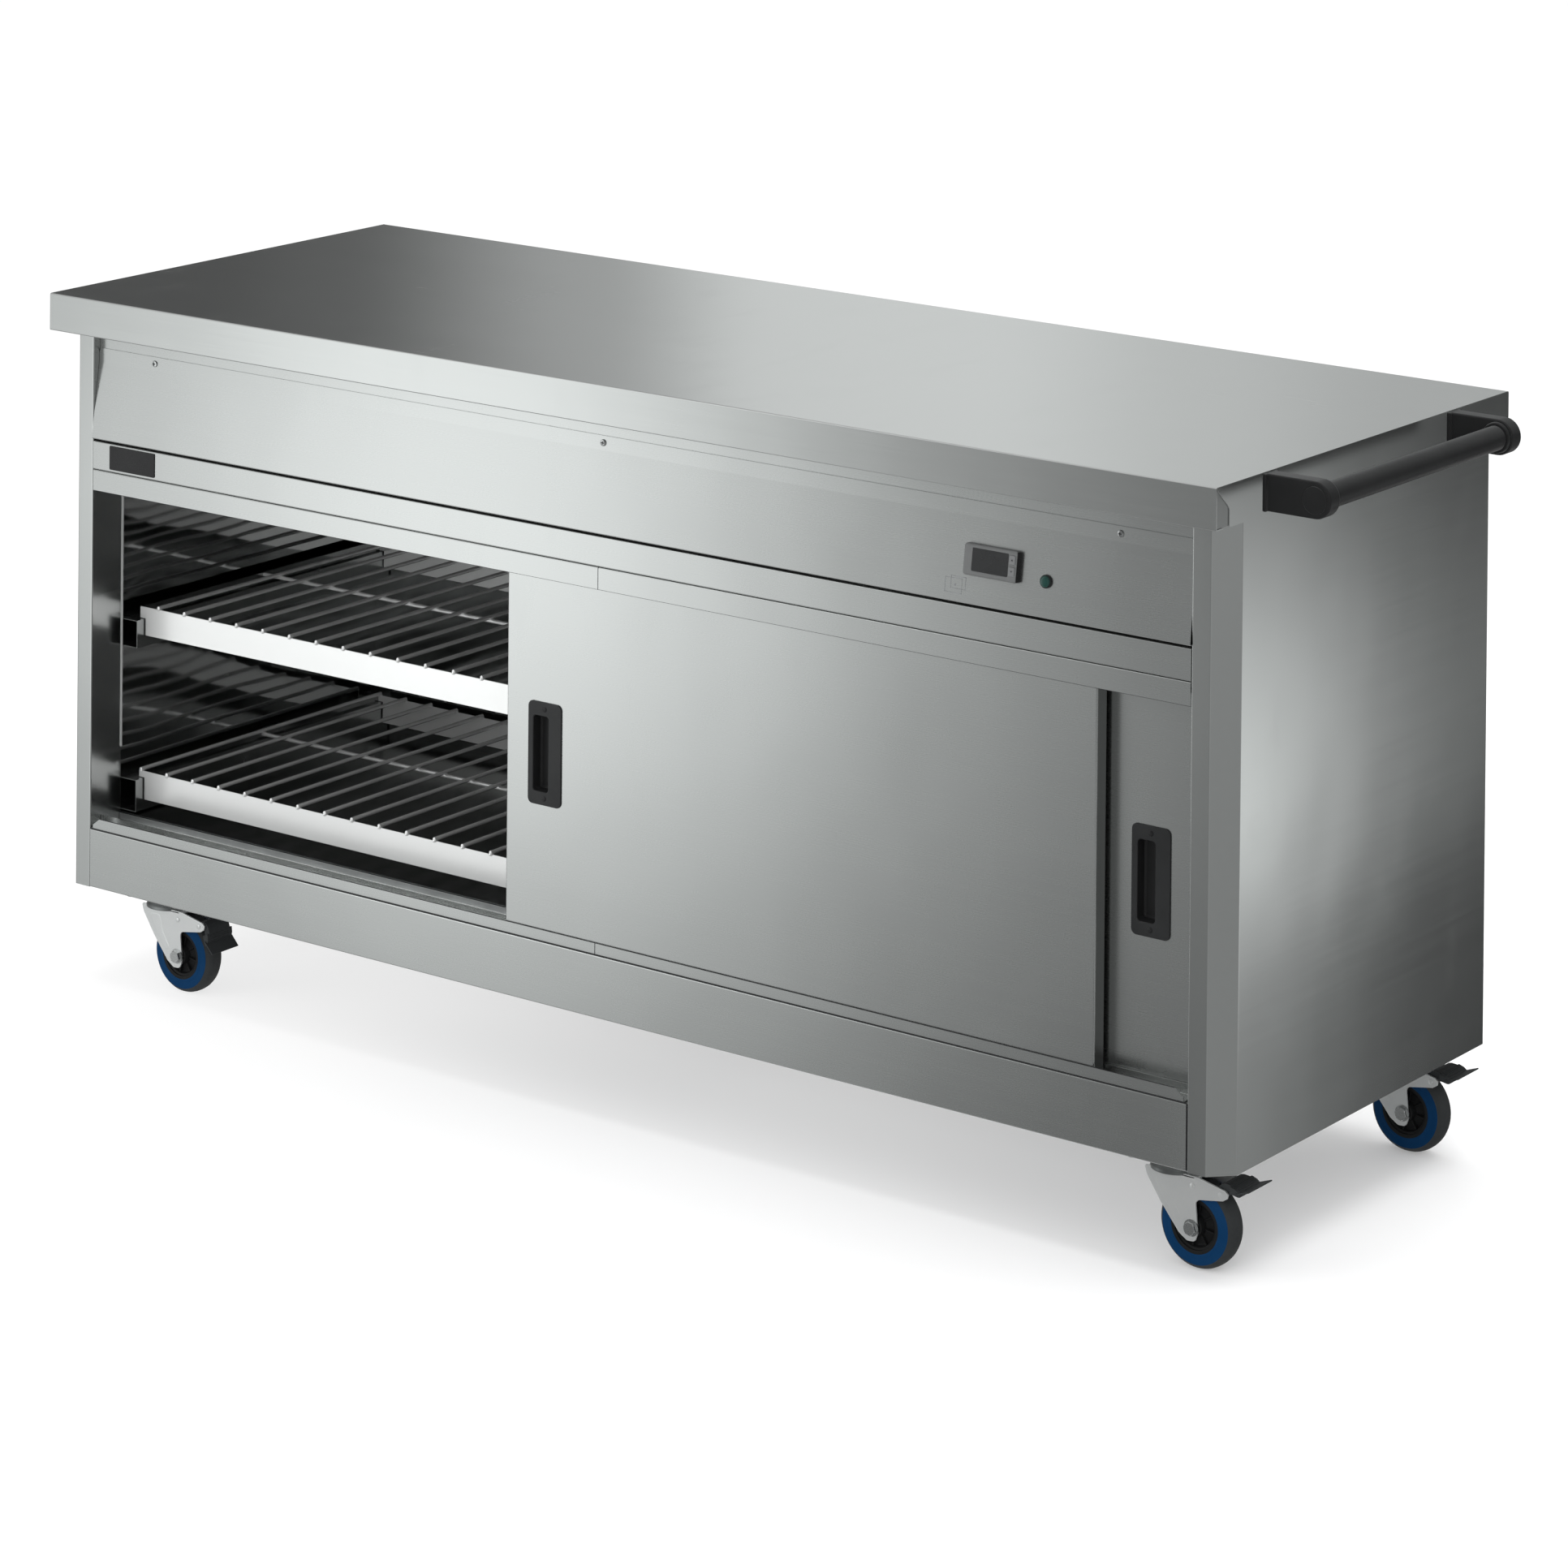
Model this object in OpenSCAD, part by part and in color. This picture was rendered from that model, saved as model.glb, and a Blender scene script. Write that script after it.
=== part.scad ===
// Mobile hot cupboard: plain worktop, two sliding doors, sloped control
// panel, two wire racks inside, side push handle and four braked castors.
// Built in cabinet coordinates (x from the left end, y back from the
// worktop's front edge, z up from the floor), then moved so that the
// origin is on the floor at the centre of the overall footprint.

/* [Overall] */
// Length of the worktop
bench_l = 1800; // [1799:1:1801]
// Depth of the worktop, front to back
bench_d = 642; // [640:1:644]
// Height of the worktop above the floor
bench_h = 895; // [895:1:896]
// Thickness of the folded panels
sheet = 1.2; // [1:0.1:1.3]
// Thickness of the worktop sheet
top_sheet = 1.5; // [1.2:0.1:1.6]
// Depth of the worktop's front fold
fascia_h = 48; // [46:1:49]

/* [Doors] */
// Width of each sliding door
door_w = 867; // [860:1:868]
// Left edge of the front door at rest
door_left_x = 757; // [700:1:860]
// Thickness of each door
door_t = 18.6; // [16:0.1:18.6]
// Width of the recessed pull
pull_w = 52; // [46:1:56]
// Height of the recessed pull
pull_h = 125; // [110:1:130]

/* [Racks] */
// Pitch of the rack rods
rod_pitch = 46.3; // [44:0.1:46.5]
// Diameter of the rack rods
rod_d = 5.5; // [4:0.1:6]

/* [Castors] */
// Diameter of the castor wheels
wheel_d = 100; // [98:1:100]
// Width of the tyres
tyre_w = 32; // [28:1:34]
// Trail, from the swivel axis to the axle
trail = 33; // [32:0.5:34]
// Swivel axis of the left castors, from the left end
castor_left_x = 141; // [130:1:150]
// Swivel axis of the right castors, from the left end
castor_right_x = 1702; // [1694:1:1708]

/* [Hidden] */
$fn = 48;

steel = "#b9bab8";
dark = "#232425";
liner_grey = "#6f7274";

body_z = 125;         // underside of the cabinet
post_x = 50;          // inner face of the posts
post_y = 30;          // front face of the posts
back_y = 597;         // back of the cabinet
shell_top = bench_h - top_sheet - 0.1;
frame_sheet = 1.5;    // thickness of the stiffeners, base tray and its channels
liner_sheet = 1;
liner_back_y = 575;   // back of the liner
fan_at = [900, 330];  // fan axis, x and y
lead_x = 1600;        // mains lead, its hook and its hole
lead_z = 170;         // height of the lead's hole
lead_end_r = 8.5;     // thick end of the lead, in that hole

// Push handle
bracket_y = [97, 499];  // front faces of the brackets
bracket_w = 21;
handle_x = bench_l + 66;
handle_z = 873;
handle_r = 21;          // rounded end of the brackets
tube_r = 14.5;
handle_reach = handle_x + handle_r - bench_l;

// Screws
screw_r = 2;
screw_hole_r = 2.2;
panel_screw_x = [150.5, 898.4, 1648.1];
panel_screw_z = 815.5;
back_screws = [for (x = [9, bench_l - 9], z = [200, 500, 800]) [x, z]];
bracket_screw_z = [handle_z - 15, handle_z + 15];

// Doors: the left one runs in front of the right one
door_z0 = 207;
door_z1 = 652;
door_left_y = 31.8;     // front face
door_right_y = 55.6;
door_right_x = bench_l - post_x - door_w;
pull_z = 366;           // underside of the pulls
pull_left_x = door_left_x + 35;
pull_right_x = bench_l - post_x - 41 - pull_w;

// Sloped control panel, from its foot up to its fold
panel_y0 = 27;
panel_z0 = 708;
panel_y1 = 39.9;
panel_z1 = 806;
panel_slope = (panel_y1 - panel_y0) / (panel_z1 - panel_z0);
controller_at = [1478.5, 759];  // centre, x and z
lamp_at = [1552.8, 749];
key_h = 11;
key_down_z = -11;               // undersides, from the controller's centre
key_up_z = 2;

// Racks: tops of the side supports
support_upper_z = 463;
support_lower_z = 255;

// Castors
wheel_r = wheel_d / 2;
castor_y = [86, 542];
bolt_r = 4;
bolt_hole_r = 4.3;
bolt_hex_r = 7.4;
stem_r = 6;
axle_r = 5;
axle_hex_r = 8.2;
rim_r = 26.9;
pedal_pin_r = 3;
pivot = [trail + 38, 95];  // pedal pivot: x from the swivel axis, z
pedal_up = 0;
pedal_pressed = 66;        // degrees
castor_fl = [castor_left_x, castor_y[0]];
castor_fr = [castor_right_x, castor_y[0]];
castor_bl = [castor_left_x, castor_y[1]];
castor_br = [castor_right_x, castor_y[1]];

// ---- helpers ----
function unit(v) = v / norm(v);
function left_normal(v) = [-v[1], v[0]];

// point i of a path moved d to the left, mitred at the corners
function offset_point(path, i, d) =
  let (
    before = i > 0 ? unit(path[i] - path[i-1]) : unit(path[1] - path[0]),
    after = i < len(path) - 1 ? unit(path[i+1] - path[i]) : before
  )
  path[i] + (left_normal(before) + left_normal(after)) * d / (1 + before * after);

// points of a circular arc in n steps
function arc(centre, r, a0, a1, n) = [
  for (i = [0 : n])
    let (a = a0 + (a1 - a0) * i / n)
    centre + r * [cos(a), sin(a)]
];

// section of a folded sheet: a path thickened by d to its left (right if d < 0)
module folded(path, d)
  polygon(concat(path, [for (i = [len(path)-1 : -1 : 0]) offset_point(path, i, d)]));

// cabinet coordinates to the final frame
module place() translate([-(bench_l + handle_reach) / 2, -bench_d / 2, 0]) children();

// a (y, z) outline drawn along x
module along_x(x0, x1)
  translate([x0, 0, 0]) rotate([90, 0, 90]) linear_extrude(x1 - x0) children();

// the same, from post to post with a gap at each end
module between_posts(gap = 0.3) along_x(post_x + gap, bench_l - post_x - gap) children();

// an (x, z) outline drawn along y
module along_y(y0, y1)
  translate([0, y1, 0]) rotate([90, 0, 0]) linear_extrude(y1 - y0) children();

module box(low, high) translate(low) cube(high - low);
module rod_x(start, r, length) translate(start) rotate([0, 90, 0]) cylinder(r = r, h = length);
module rod_y(start, r, length) translate(start) rotate([-90, 0, 0]) cylinder(r = r, h = length);

// a cylinder upwards from height z
module post(z, r, h) translate([0, 0, z]) cylinder(r = r, h = h);
module hexagon(z, r, h) translate([0, 0, z]) cylinder(r = r, h = h, $fn = 6);

// left-end parts moved to the right end, or made at both
module mirror_x() translate([bench_l, 0, 0]) mirror([1, 0, 0]) children();
module both_ends()
  for (m = [0, 1]) translate([m * bench_l, 0, 0]) mirror([m, 0, 0]) children();

module rounded_plate(w, h, r, d) {
  box([r, 0, 0], [w - r, d, h]);
  box([0, 0, r], [w, d, h - r]);
  for (x = [r, w - r], z = [r, h - r]) rod_y([x, 0, z], r, d);
}

// ---- worktop ----
module worktop() color(steel) place() difference() {
  fascia_z = bench_h - fascia_h;
  return_z = bench_h - 32;
  along_x(0, bench_l) folded([
    [14, fascia_z], [0, fascia_z], [0, bench_h],
    [bench_d, bench_h], [bench_d, return_z], [bench_d - 12, return_z]
  ], -top_sheet);
  // the rear return stops short of the side panels
  for (x = [-1, bench_l - 1.6])
    box([x, 600, bench_h - 34], [x + 2.6, bench_d - 1.7, bench_h - 29]);
}

module worktop_stiffeners() color("#8d8f90") place() {
  z0 = bench_h - 24;
  z1 = bench_h - top_sheet - 0.3;
  for (y = [110, 290, 470]) along_x(60, bench_l - 60)
    folded([[y, z0], [y, z1], [y + 70, z1], [y + 70, z0]], -frame_sheet);
}

// ---- outer shell ----
// left side panel with its chamfered corner post
module side_sheet() {
  low = bench_h - fascia_h;
  translate([0, 0, body_z]) linear_extrude(shell_top - body_z) folded([
    [post_x, 84], [post_x, post_y], [post_x - 25, post_y],
    [0, post_y + 25], [0, back_y], [18, back_y]
  ], -sheet);
  // front and rear extensions under the worktop; outline in y, z
  along_x(0, sheet) polygon([
    [post_y + 27, low], [27, low], [27, low + 19], [24.5, low + 23.5],
    [20, low + 28], [15, low + 32.3], [9.5, low + 37.5], [5, low + 42.6],
    [3, shell_top], [post_y + 27, shell_top]
  ]);
  box([0, back_y - 2, low], [sheet, bench_d - 1.8, shell_top]);
}
module side_panel_left() color(steel) place() side_sheet();
module side_panel_right() color(steel) place() mirror_x() difference() {
  side_sheet();
  for (y = bracket_y, z = bracket_screw_z)
    rod_x([-1, y + bracket_w / 2, z], screw_hole_r, 4);
}

module back_panel() color(steel) place() {
  inset = sheet + 0.2;
  hook_x0 = lead_x - 6;
  hook_x1 = lead_x + 6;
  hook_y = 632;
  difference() {
    box([inset, back_y - sheet - inset, body_z + 0.1], [bench_l - inset, back_y - inset, 862]);
    rod_y([lead_x, 590, lead_z], lead_end_r + 0.1, 10);
    for (p = back_screws) rod_y([p[0], 590, p[1]], screw_hole_r, 10);
    // two groups of upright slots
    for (i = [0 : 8], x = [880, 1480])
      box([x + i * 12, 590, 800], [x + i * 12 + 5, 600, 840]);
  }
  // rest hook for the coiled lead
  box([hook_x0, back_y - sheet - 1, 747.4], [hook_x1, hook_y, 750.4]);
  box([hook_x0, hook_y - 3, 749], [hook_x1, hook_y, 768]);
}

module base_tray() color("#9a9c9d") place() difference() {
  side = sheet + 0.2;
  neck = post_x + 0.2;
  union() {
    translate([0, 0, body_z]) linear_extrude(frame_sheet) polygon([
      [neck, 44], [bench_l - neck, 44], [bench_l - neck, 85], [bench_l - side, 85],
      [bench_l - side, 594], [side, 594], [side, 85], [neck, 85]
    ]);
    // channels over the castors
    for (x = [castor_left_x, castor_right_x]) along_y(90, 588) folded([
      [x - 60, body_z + 1], [x - 60, 150], [x + 60, 150], [x + 60, body_z + 1]
    ], -frame_sheet);
  }
  at_castors() at_bolts() post(body_z - 1, bolt_hole_r, 4);
  // slots in front of the fan axis
  for (i = [0 : 11])
    box([fan_at[0] - 48 + i * 8.4, 240, 120], [fan_at[0] - 45 + i * 8.4, 270, 130]);
}

module panel_screw_holes()
  for (x = panel_screw_x) rod_y([x, 30, panel_screw_z], screw_hole_r, 20);

module top_rail() color(steel) place() difference() {
  between_posts() folded([[75, 798], [41.2, 798], [41.2, 845.5], [75, 845.5]], -sheet);
  panel_screw_holes();
}

// origin at a point [x, z] of the sloped face, leaning with it
module on_panel(at)
  translate([at[0], panel_y1 - (panel_z1 - at[1]) * panel_slope, at[1]])
    rotate([-atan(panel_slope), 0, 0]) children();

module control_panel() color(steel) place() difference() {
  between_posts() folded([
    [panel_y1, 824], [panel_y1, panel_z1], [panel_y0, panel_z0],
    [64, panel_z0], [64, panel_z0 + 20]
  ], sheet);
  panel_screw_holes();
  on_panel(controller_at) box([-35.6, -5, -13], [35.6, 5, 13]);
  on_panel(lamp_at) rod_y([0, -5, 0], 6.3, 10);
  // rounded top corners of the lip
  both_ends() difference() {
    box([post_x, 35, 818.2], [post_x + 6.1, 45, 825]);
    rod_y([post_x + 6.3, 34, 818], 6, 12);
  }
}

module lower_rail() color(steel) place() between_posts()
  folded([[80, 668], [post_y, 668], [post_y, 704.6], [80, 704.6]], -sheet);

module plinth_panel() color(steel) place() between_posts() folded([
  [43, body_z + 0.2], [post_y, body_z + 0.2], [post_y, 200.6], [82, 200.6]
], -sheet);

// left and right covers, meeting near mid length
module header_covers() color(steel) place()
  for (span = [[post_x + 0.6, 899.5], [900.1, bench_l - post_x - 0.6]])
    along_x(span[0], span[1])
      folded([[post_y, 641], [post_y, 667.4], [80, 667.4]], -sheet);

module door_sills() color(steel) place() both_ends() difference() {
  along_x(post_x + 5, bench_l / 2 - 0.4)
    folded([[post_y, 215], [post_y, 201.2], [53.6, 201.2], [53.6, 213.5]], sheet);
  // bevelled outer end of the front lip
  along_y(post_y - 2, post_y + sheet + 1)
    polygon([[post_x, 216], [post_x, 203], [post_x + 17, 216]]);
}

// E-shaped section, open downwards; outline in y, z
module door_track_upper() color("#a9abab") place() between_posts(0.6) polygon([
  [31.8, 655], [33, 655], [33, 664.4], [52.2, 664.4], [52.2, 655], [53.8, 655],
  [53.8, 664.4], [76, 664.4], [76, 655], [77.4, 655], [77.4, 665.8], [31.8, 665.8]
]);

module door_track_lower() color("#a9abab") place() between_posts(0.6)
  folded([[53.8, 212.5], [53.8, 201.2], [83.6, 201.2], [83.6, 209.4]], sheet);

// ---- liner and insulation ----
module liner_back() color(liner_grey) place() box(
  [post_x + 0.3, liner_back_y - liner_sheet, 211.2],
  [bench_l - post_x - 0.3, liner_back_y, 644.6]);

module liner_side() box([post_x - liner_sheet, 84.3, 208], [post_x, liner_back_y, 646]);
module liner_side_left() color(liner_grey) place() liner_side();
module liner_side_right() color(liner_grey) place() mirror_x() liner_side();

module liner_floor() color(liner_grey) place() difference() {
  between_posts() folded([[84.8, 203], [84.8, 211], [liner_back_y, 211]], -liner_sheet);
  // slots over the fan
  for (i = [-5 : 5]) translate([fan_at[0] + i * 11, fan_at[1], 0])
    box([-2.5, -45, 205], [2.5, 45, 215]);
}

module liner_ceiling() color(liner_grey) place()
  box([post_x + 0.3, 80, 646 - liner_sheet], [bench_l - post_x - 0.3, liner_back_y, 646]);

module insulation() color("#c9b458") place() {
  both_ends() box([2, 90, 214], [post_x - 2, 570, 640]);
  box([60, 577, 214], [bench_l - 60, 592, 640]);
  box([60, 100, 647], [bench_l - 60, 570, 668]);
}

// ---- racks ----
module channel_support(z0, z1) along_y(86.5, 572)
  folded([[post_x + 0.2, z0], [76, z0], [76, z1], [post_x + 0.2, z1]], sheet);

module shelf_supports() color("#8b8e90") place() both_ends() {
  channel_support(427, support_upper_z);
  channel_support(213, support_lower_z);
}

// z: top edge of the rails; support_z: top of the side supports;
// first_x: first rod
module rack(z, support_z, first_x) {
  rail_x = 68;    // outer end of the rails
  step_x = 77.5;  // where the rails drop between the supports
  foot_z = support_z + 0.6;
  drop_z = z - 37;
  for (y = [100, 560]) along_y(y, y + 2) polygon([
    [rail_x, z], [rail_x, foot_z], [step_x, foot_z], [step_x, drop_z],
    [bench_l - step_x, drop_z], [bench_l - step_x, foot_z],
    [bench_l - rail_x, foot_z], [bench_l - rail_x, z]
  ]);
  for (x = [rail_x, bench_l - rail_x - 2]) box([x, 101, support_z + 0.2], [x + 2, 561, z]);
  for (x = [first_x : rod_pitch : bench_l - 72]) rod_y([x, 99, z + 1.9], rod_d / 2, 464);
  // one cross wire under the rods
  rod_x([rail_x + 1, 331, z - 3.2], rod_d / 2, bench_l - 2 * (rail_x + 1));
}
module shelf_upper() color("#d8d8d6") place() rack(478.6, support_upper_z, 101);
module shelf_lower() color("#d8d8d6") place() rack(264, support_lower_z, 118 - rod_pitch);

// ---- doors ----
// x, y: left edge and front face of the door; pull_x: left edge of its pull

// pan open at the back, with a window for the pull
module door_skin(x, y, pull_x) color(steel) place() difference() {
  box([x, y, door_z0], [x + door_w, y + door_t, door_z1]);
  box([x + sheet, y + sheet, door_z0 + sheet],
      [x + door_w - sheet, y + door_t + 1, door_z1 - sheet]);
  box([pull_x + 4, y - 1, pull_z + 4],
      [pull_x + pull_w - 4, y + sheet + 1, pull_z + pull_h - 4]);
}

// flat sheet closing the back of the pan
module door_inner(x, y) color("#8d9092") place() {
  inset = sheet + 0.15;
  box([x + inset, y + door_t - 1.2, door_z0 + inset],
      [x + door_w - inset, y + door_t - 0.2, door_z1 - inset]);
}

module door_pull(pull_x, y) color(dark) place() translate([pull_x, y, pull_z]) difference() {
  union() {
    translate([0, -1.8, 0]) rounded_plate(pull_w, pull_h, 7, 1.7);
    box([4.3, -0.2, 4.3], [pull_w - 4.3, 15.8, pull_h - 4.3]);
  }
  // recess, running on behind the face to the right
  box([8, -3, 16], [32, 13.5, pull_h - 17]);
  box([31, 4, 16], [43, 13.5, pull_h - 17]);
}

// top_y, bottom_y: front and back of the upper and lower glides
module door_glides(door_x, top_y, bottom_y) color("#e9e7df") place()
  for (x = [door_x + 40, door_x + door_w - 100]) {
    box([x, top_y[0], door_z1 + 0.1], [x + 60, top_y[1], 662.8]);
    box([x, bottom_y[0], 203.2], [x + 60, bottom_y[1], door_z0 - 0.1]);
  }

module door_left_skin() door_skin(door_left_x, door_left_y, pull_left_x);
module door_left_inner() door_inner(door_left_x, door_left_y);
module door_left_pull() door_pull(pull_left_x, door_left_y);
module door_left_glides() door_glides(door_left_x, [35, 49], [34, 50]);
module door_right_skin() door_skin(door_right_x, door_right_y, pull_right_x);
module door_right_inner() door_inner(door_right_x, door_right_y);
module door_right_pull() door_pull(pull_right_x, door_right_y);
module door_right_glides() door_glides(door_right_x, [58, 72], [58, 74]);

// ---- controls ----
module controller_case() color(dark) place() on_panel(controller_at) difference() {
  union() {
    translate([-37.5, -7, -18]) rounded_plate(75, 36, 3, 6.9);
    box([-35, -0.5, -12.5], [35, 45, 12.5]);
  }
  // shallow recess in the face, and the key pockets
  box([-25.5, -8, -12.5], [25, -5.5, 14]);
  for (z = [key_down_z, key_up_z]) box([26, -8, z], [35, -2, z + key_h]);
}
module key(z) color("#8f9292") place() on_panel(controller_at)
  box([26.2, -8, z + 0.2], [34.8, -3, z + key_h - 0.2]);
module key_up() key(key_up_z);
module key_down() key(key_down_z);

module pilot_lamp() color("#1c6b4a") place() on_panel(lamp_at) {
  rod_y([0, -3, 0], 7.6, 2.9);
  rod_y([0, -5.5, 0], 6.6, 3);
  rod_y([0, -0.5, 0], 6, 26);
}

// ---- heating ----
fan_shaft_r = 3;

// ring around the fan, with two tails to an end block
module heater_element() color("#6c5a4c") place() translate([fan_at[0], fan_at[1], 182]) {
  rotate_extrude() translate([84, 0]) circle(r = 4, $fn = 24);
  for (y = [-14, 14]) rod_x([-160, y, 0], 4, 77);
  box([-168, -24, -12], [-158, 24, 12]);
}

module fan_motor() color("#3c3f41") place() translate([fan_at[0], fan_at[1], 0]) difference() {
  union() {
    post(127, 38, 31);
    post(157, 14, 4);
  }
  post(136, fan_shaft_r + 0.06, 30);
}

// shaft, boss, disc and blades
module fan_impeller() color("#b2b4b4") place() translate([fan_at[0], fan_at[1], 0]) {
  post(137, fan_shaft_r, 28);
  post(163, 10, 24);
  post(166, 60, 1.5);
  for (i = [0 : 7]) rotate(i * 45 + 10) box([8, -0.8, 167], [58, 0.8, 188]);
}

// coil, thick end, hanging run and plug
module mains_lead() color("#1b1c1e") place() {
  lead_y = 616;
  translate([lead_x, lead_y, 675]) rotate([90, 0, 0])
    rotate_extrude() translate([84, 0]) circle(r = 8, $fn = 24);
  rod_y([lead_x, 590, lead_z], lead_end_r, lead_y - 590);
  translate([lead_x, lead_y, 162]) cylinder(r = 4.5, h = 434);
  box([lead_x - 26, 600, 520], [lead_x + 26, 630, 572]);
}

// ---- push handle ----
module handle_brackets() color(dark) place() for (i = [0, 1]) difference() {
  y = bracket_y[i];
  root_x = bench_l + 0.1;
  z0 = handle_z - handle_r;
  z1 = handle_z + handle_r;
  union() {
    along_y(y, y + bracket_w) polygon(concat(
      [[root_x, z0], [handle_x, z0]],
      arc([handle_x, handle_z], handle_r, -84, 84, 14),
      [[handle_x, z1], [root_x, z1]]));
    box([root_x, y - 4, z0], [bench_l + 5, y + bracket_w + 4, z1]);
  }
  // blind socket for the tube, open towards the other bracket
  rod_y([handle_x, y + [7, -1][i], handle_z], tube_r + 0.1, 15);
  for (z = bracket_screw_z) rod_x([bench_l - 1, y + bracket_w / 2, z], screw_hole_r, 20);
}

module handle_tube() color("#2a2b2c") place() {
  y0 = bracket_y[0] + 8;
  y1 = bracket_y[1] + bracket_w - 8;
  rod_y([handle_x, y0, handle_z], tube_r, y1 - y0);
}

// ---- fasteners ----
module panel_screws() color("#d0d0ce") place() {
  for (x = panel_screw_x) {
    rod_y([x, panel_y1 - 2.1, panel_screw_z], 4.2, 2);
    rod_y([x, panel_y1 - 1, panel_screw_z], screw_r, 12);
  }
  for (p = back_screws) rod_y([p[0], 585, p[1]], screw_r, 10.5);
  for (y = bracket_y, z = bracket_screw_z)
    rod_x([bench_l - 10, y + bracket_w / 2, z], screw_r, 26);
}

// ---- castors ----
module at_castors()
  for (x = [castor_left_x, castor_right_x], y = castor_y) translate([x, y, 0]) children();
module at_bolts() for (x = [-40, 40], y = [-30, 30]) translate([x, y, 0]) children();

// plate, swivel race, stem and stem end
module castor_plates() color("#aeb0b1") place() at_castors() {
  difference() {
    box([-52, -42, body_z - 3.1], [52, 42, body_z - 0.1]);
    at_bolts() post(120, bolt_hole_r, 6);
  }
  post(115, 29, 7.5);
  post(104, stem_r, 12);
  post(100.5, 10, 4);
}

module castor_bolts() color("#c6c7c7") place() at_castors() at_bolts() {
  hexagon(116.6, bolt_hex_r, 5.2);
  post(121, bolt_r, 13);
  hexagon(126.7, bolt_hex_r, 6.4);
}

// Each castor part takes its swivel axis, at = [x, y].
module castor_fork(at) color("#b4b6b6") place() translate([at[0], at[1], 0]) {
  // x from the swivel axis, z from the floor
  cheek = [
    [-30.5, 107.5], [-27, 97], [-8, 70], [16, 41.5], [20.5, 37.2], [27, 34.4],
    [33, 33.6], [38, 35], [41, 38.5], [41.5, 45], [38, 82],
    [pivot[0] + 3, 88.2], [pivot[0] + 9, 92], [pivot[0] + 10, 97],
    [pivot[0] + 6, 100.6], [42, 107.5]
  ];
  difference() {
    union() {
      post(105, 31, 9.8);
      box([-14, -22, 105], [41, 22, 108]);
      for (y = [-22, 19.5]) along_y(y, y + 2.5) polygon(cheek);
    }
    // dished crown under the swivel race
    translate([0, 0, 107.9]) difference() {
      cylinder(r = 24, h = 8);
      post(-1, 15, 10);
    }
    post(100, stem_r + 0.08, 20);
    translate([pivot[0], 0, pivot[1]]) rod_y([0, -25, 0], pedal_pin_r + 0.06, 50);
  }
  // axle bolt, with its head in front and its nut behind
  translate([trail, 0, wheel_r]) rotate([-90, 0, 0]) {
    hexagon(-27.5, axle_hex_r, 5.6);
    post(-22.1, axle_r, 44.2);
    hexagon(21.9, axle_hex_r, 6);
  }
}

module at_axle(at) place()
  translate([at[0] + trail, at[1], wheel_r]) rotate([-90, 0, 0]) children();

module castor_hub(at) color("#1d1e1f") at_axle(at) difference() {
  // radius, distance along the axle
  rotate_extrude() polygon([
    [4, -18.5], [11, -18.5], [13, -9], [23, -7], [rim_r, -13],
    [rim_r, 13], [23, 7], [13, 9], [11, 18.5], [4, 18.5]
  ]);
  post(-20, axle_r + 0.06, 40);
}

module castor_tyre(at) color("#16304f") at_axle(at) {
  shoulder_r = 12;
  bore_r = rim_r + 0.1;
  arc_x = wheel_r - shoulder_r;
  arc_y = tyre_w / 2 - shoulder_r;
  rotate_extrude() polygon(concat(
    [[bore_r, -tyre_w / 2]],
    arc([arc_x, -arc_y], shoulder_r, -90, 0, 7),
    arc([arc_x, arc_y], shoulder_r, 0, 90, 7),
    [[bore_r, tyre_w / 2]]));
}

// pin, sleeve, then the pedal from its root to its tip; outlines in x, z
module castor_pedal(at, tilt) color("#2b2d2e") place()
  translate([at[0] + pivot[0], at[1], pivot[1]]) rotate([0, tilt, 0]) {
    rod_y([0, -23, 0], pedal_pin_r, 46);
    rod_y([0, -18.8, 0], 5.2, 37.6);
    along_y(-18.8, 18.8) polygon([
      [-5, 1], [-3, 9], [1, 12], [6, 12.8], [14, 12], [14, 3.5], [8, 4.2], [4, 1]
    ]);
    along_y(-22.5, 22.5) polygon([
      [12.5, 12.2], [20, 9.6], [26, 5], [26, 2.4], [23, 2], [17, 3], [12.5, 3.5]
    ]);
    along_y(-24, 24) polygon([[20, 5.5], [38.5, 12], [39, 10.6], [20.5, 4]]);
  }

worktop();
worktop_stiffeners();
side_panel_left();
side_panel_right();
back_panel();
base_tray();
top_rail();
control_panel();
lower_rail();
plinth_panel();
header_covers();
door_sills();
door_track_upper();
door_track_lower();
liner_back();
liner_side_left();
liner_side_right();
liner_floor();
liner_ceiling();
insulation();
shelf_supports();
shelf_upper();
shelf_lower();
door_left_skin();
door_left_inner();
door_left_pull();
door_left_glides();
door_right_skin();
door_right_inner();
door_right_pull();
door_right_glides();
controller_case();
key_up();
key_down();
pilot_lamp();
heater_element();
fan_motor();
fan_impeller();
mains_lead();
handle_brackets();
handle_tube();
panel_screws();
castor_plates();
castor_bolts();
castor_fork(castor_fl);  // castor_fl_fork
castor_hub(castor_fl);  // castor_fl_hub
castor_tyre(castor_fl);  // castor_fl_tyre
castor_pedal(castor_fl, pedal_pressed);  // castor_fl_pedal
castor_fork(castor_fr);  // castor_fr_fork
castor_hub(castor_fr);  // castor_fr_hub
castor_tyre(castor_fr);  // castor_fr_tyre
castor_pedal(castor_fr, pedal_up);  // castor_fr_pedal
castor_fork(castor_bl);  // castor_bl_fork
castor_hub(castor_bl);  // castor_bl_hub
castor_tyre(castor_bl);  // castor_bl_tyre
castor_pedal(castor_bl, pedal_up);  // castor_bl_pedal
castor_fork(castor_br);  // castor_br_fork
castor_hub(castor_br);  // castor_br_hub
castor_tyre(castor_br);  // castor_br_tyre
castor_pedal(castor_br, pedal_up);  // castor_br_pedal
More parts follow.
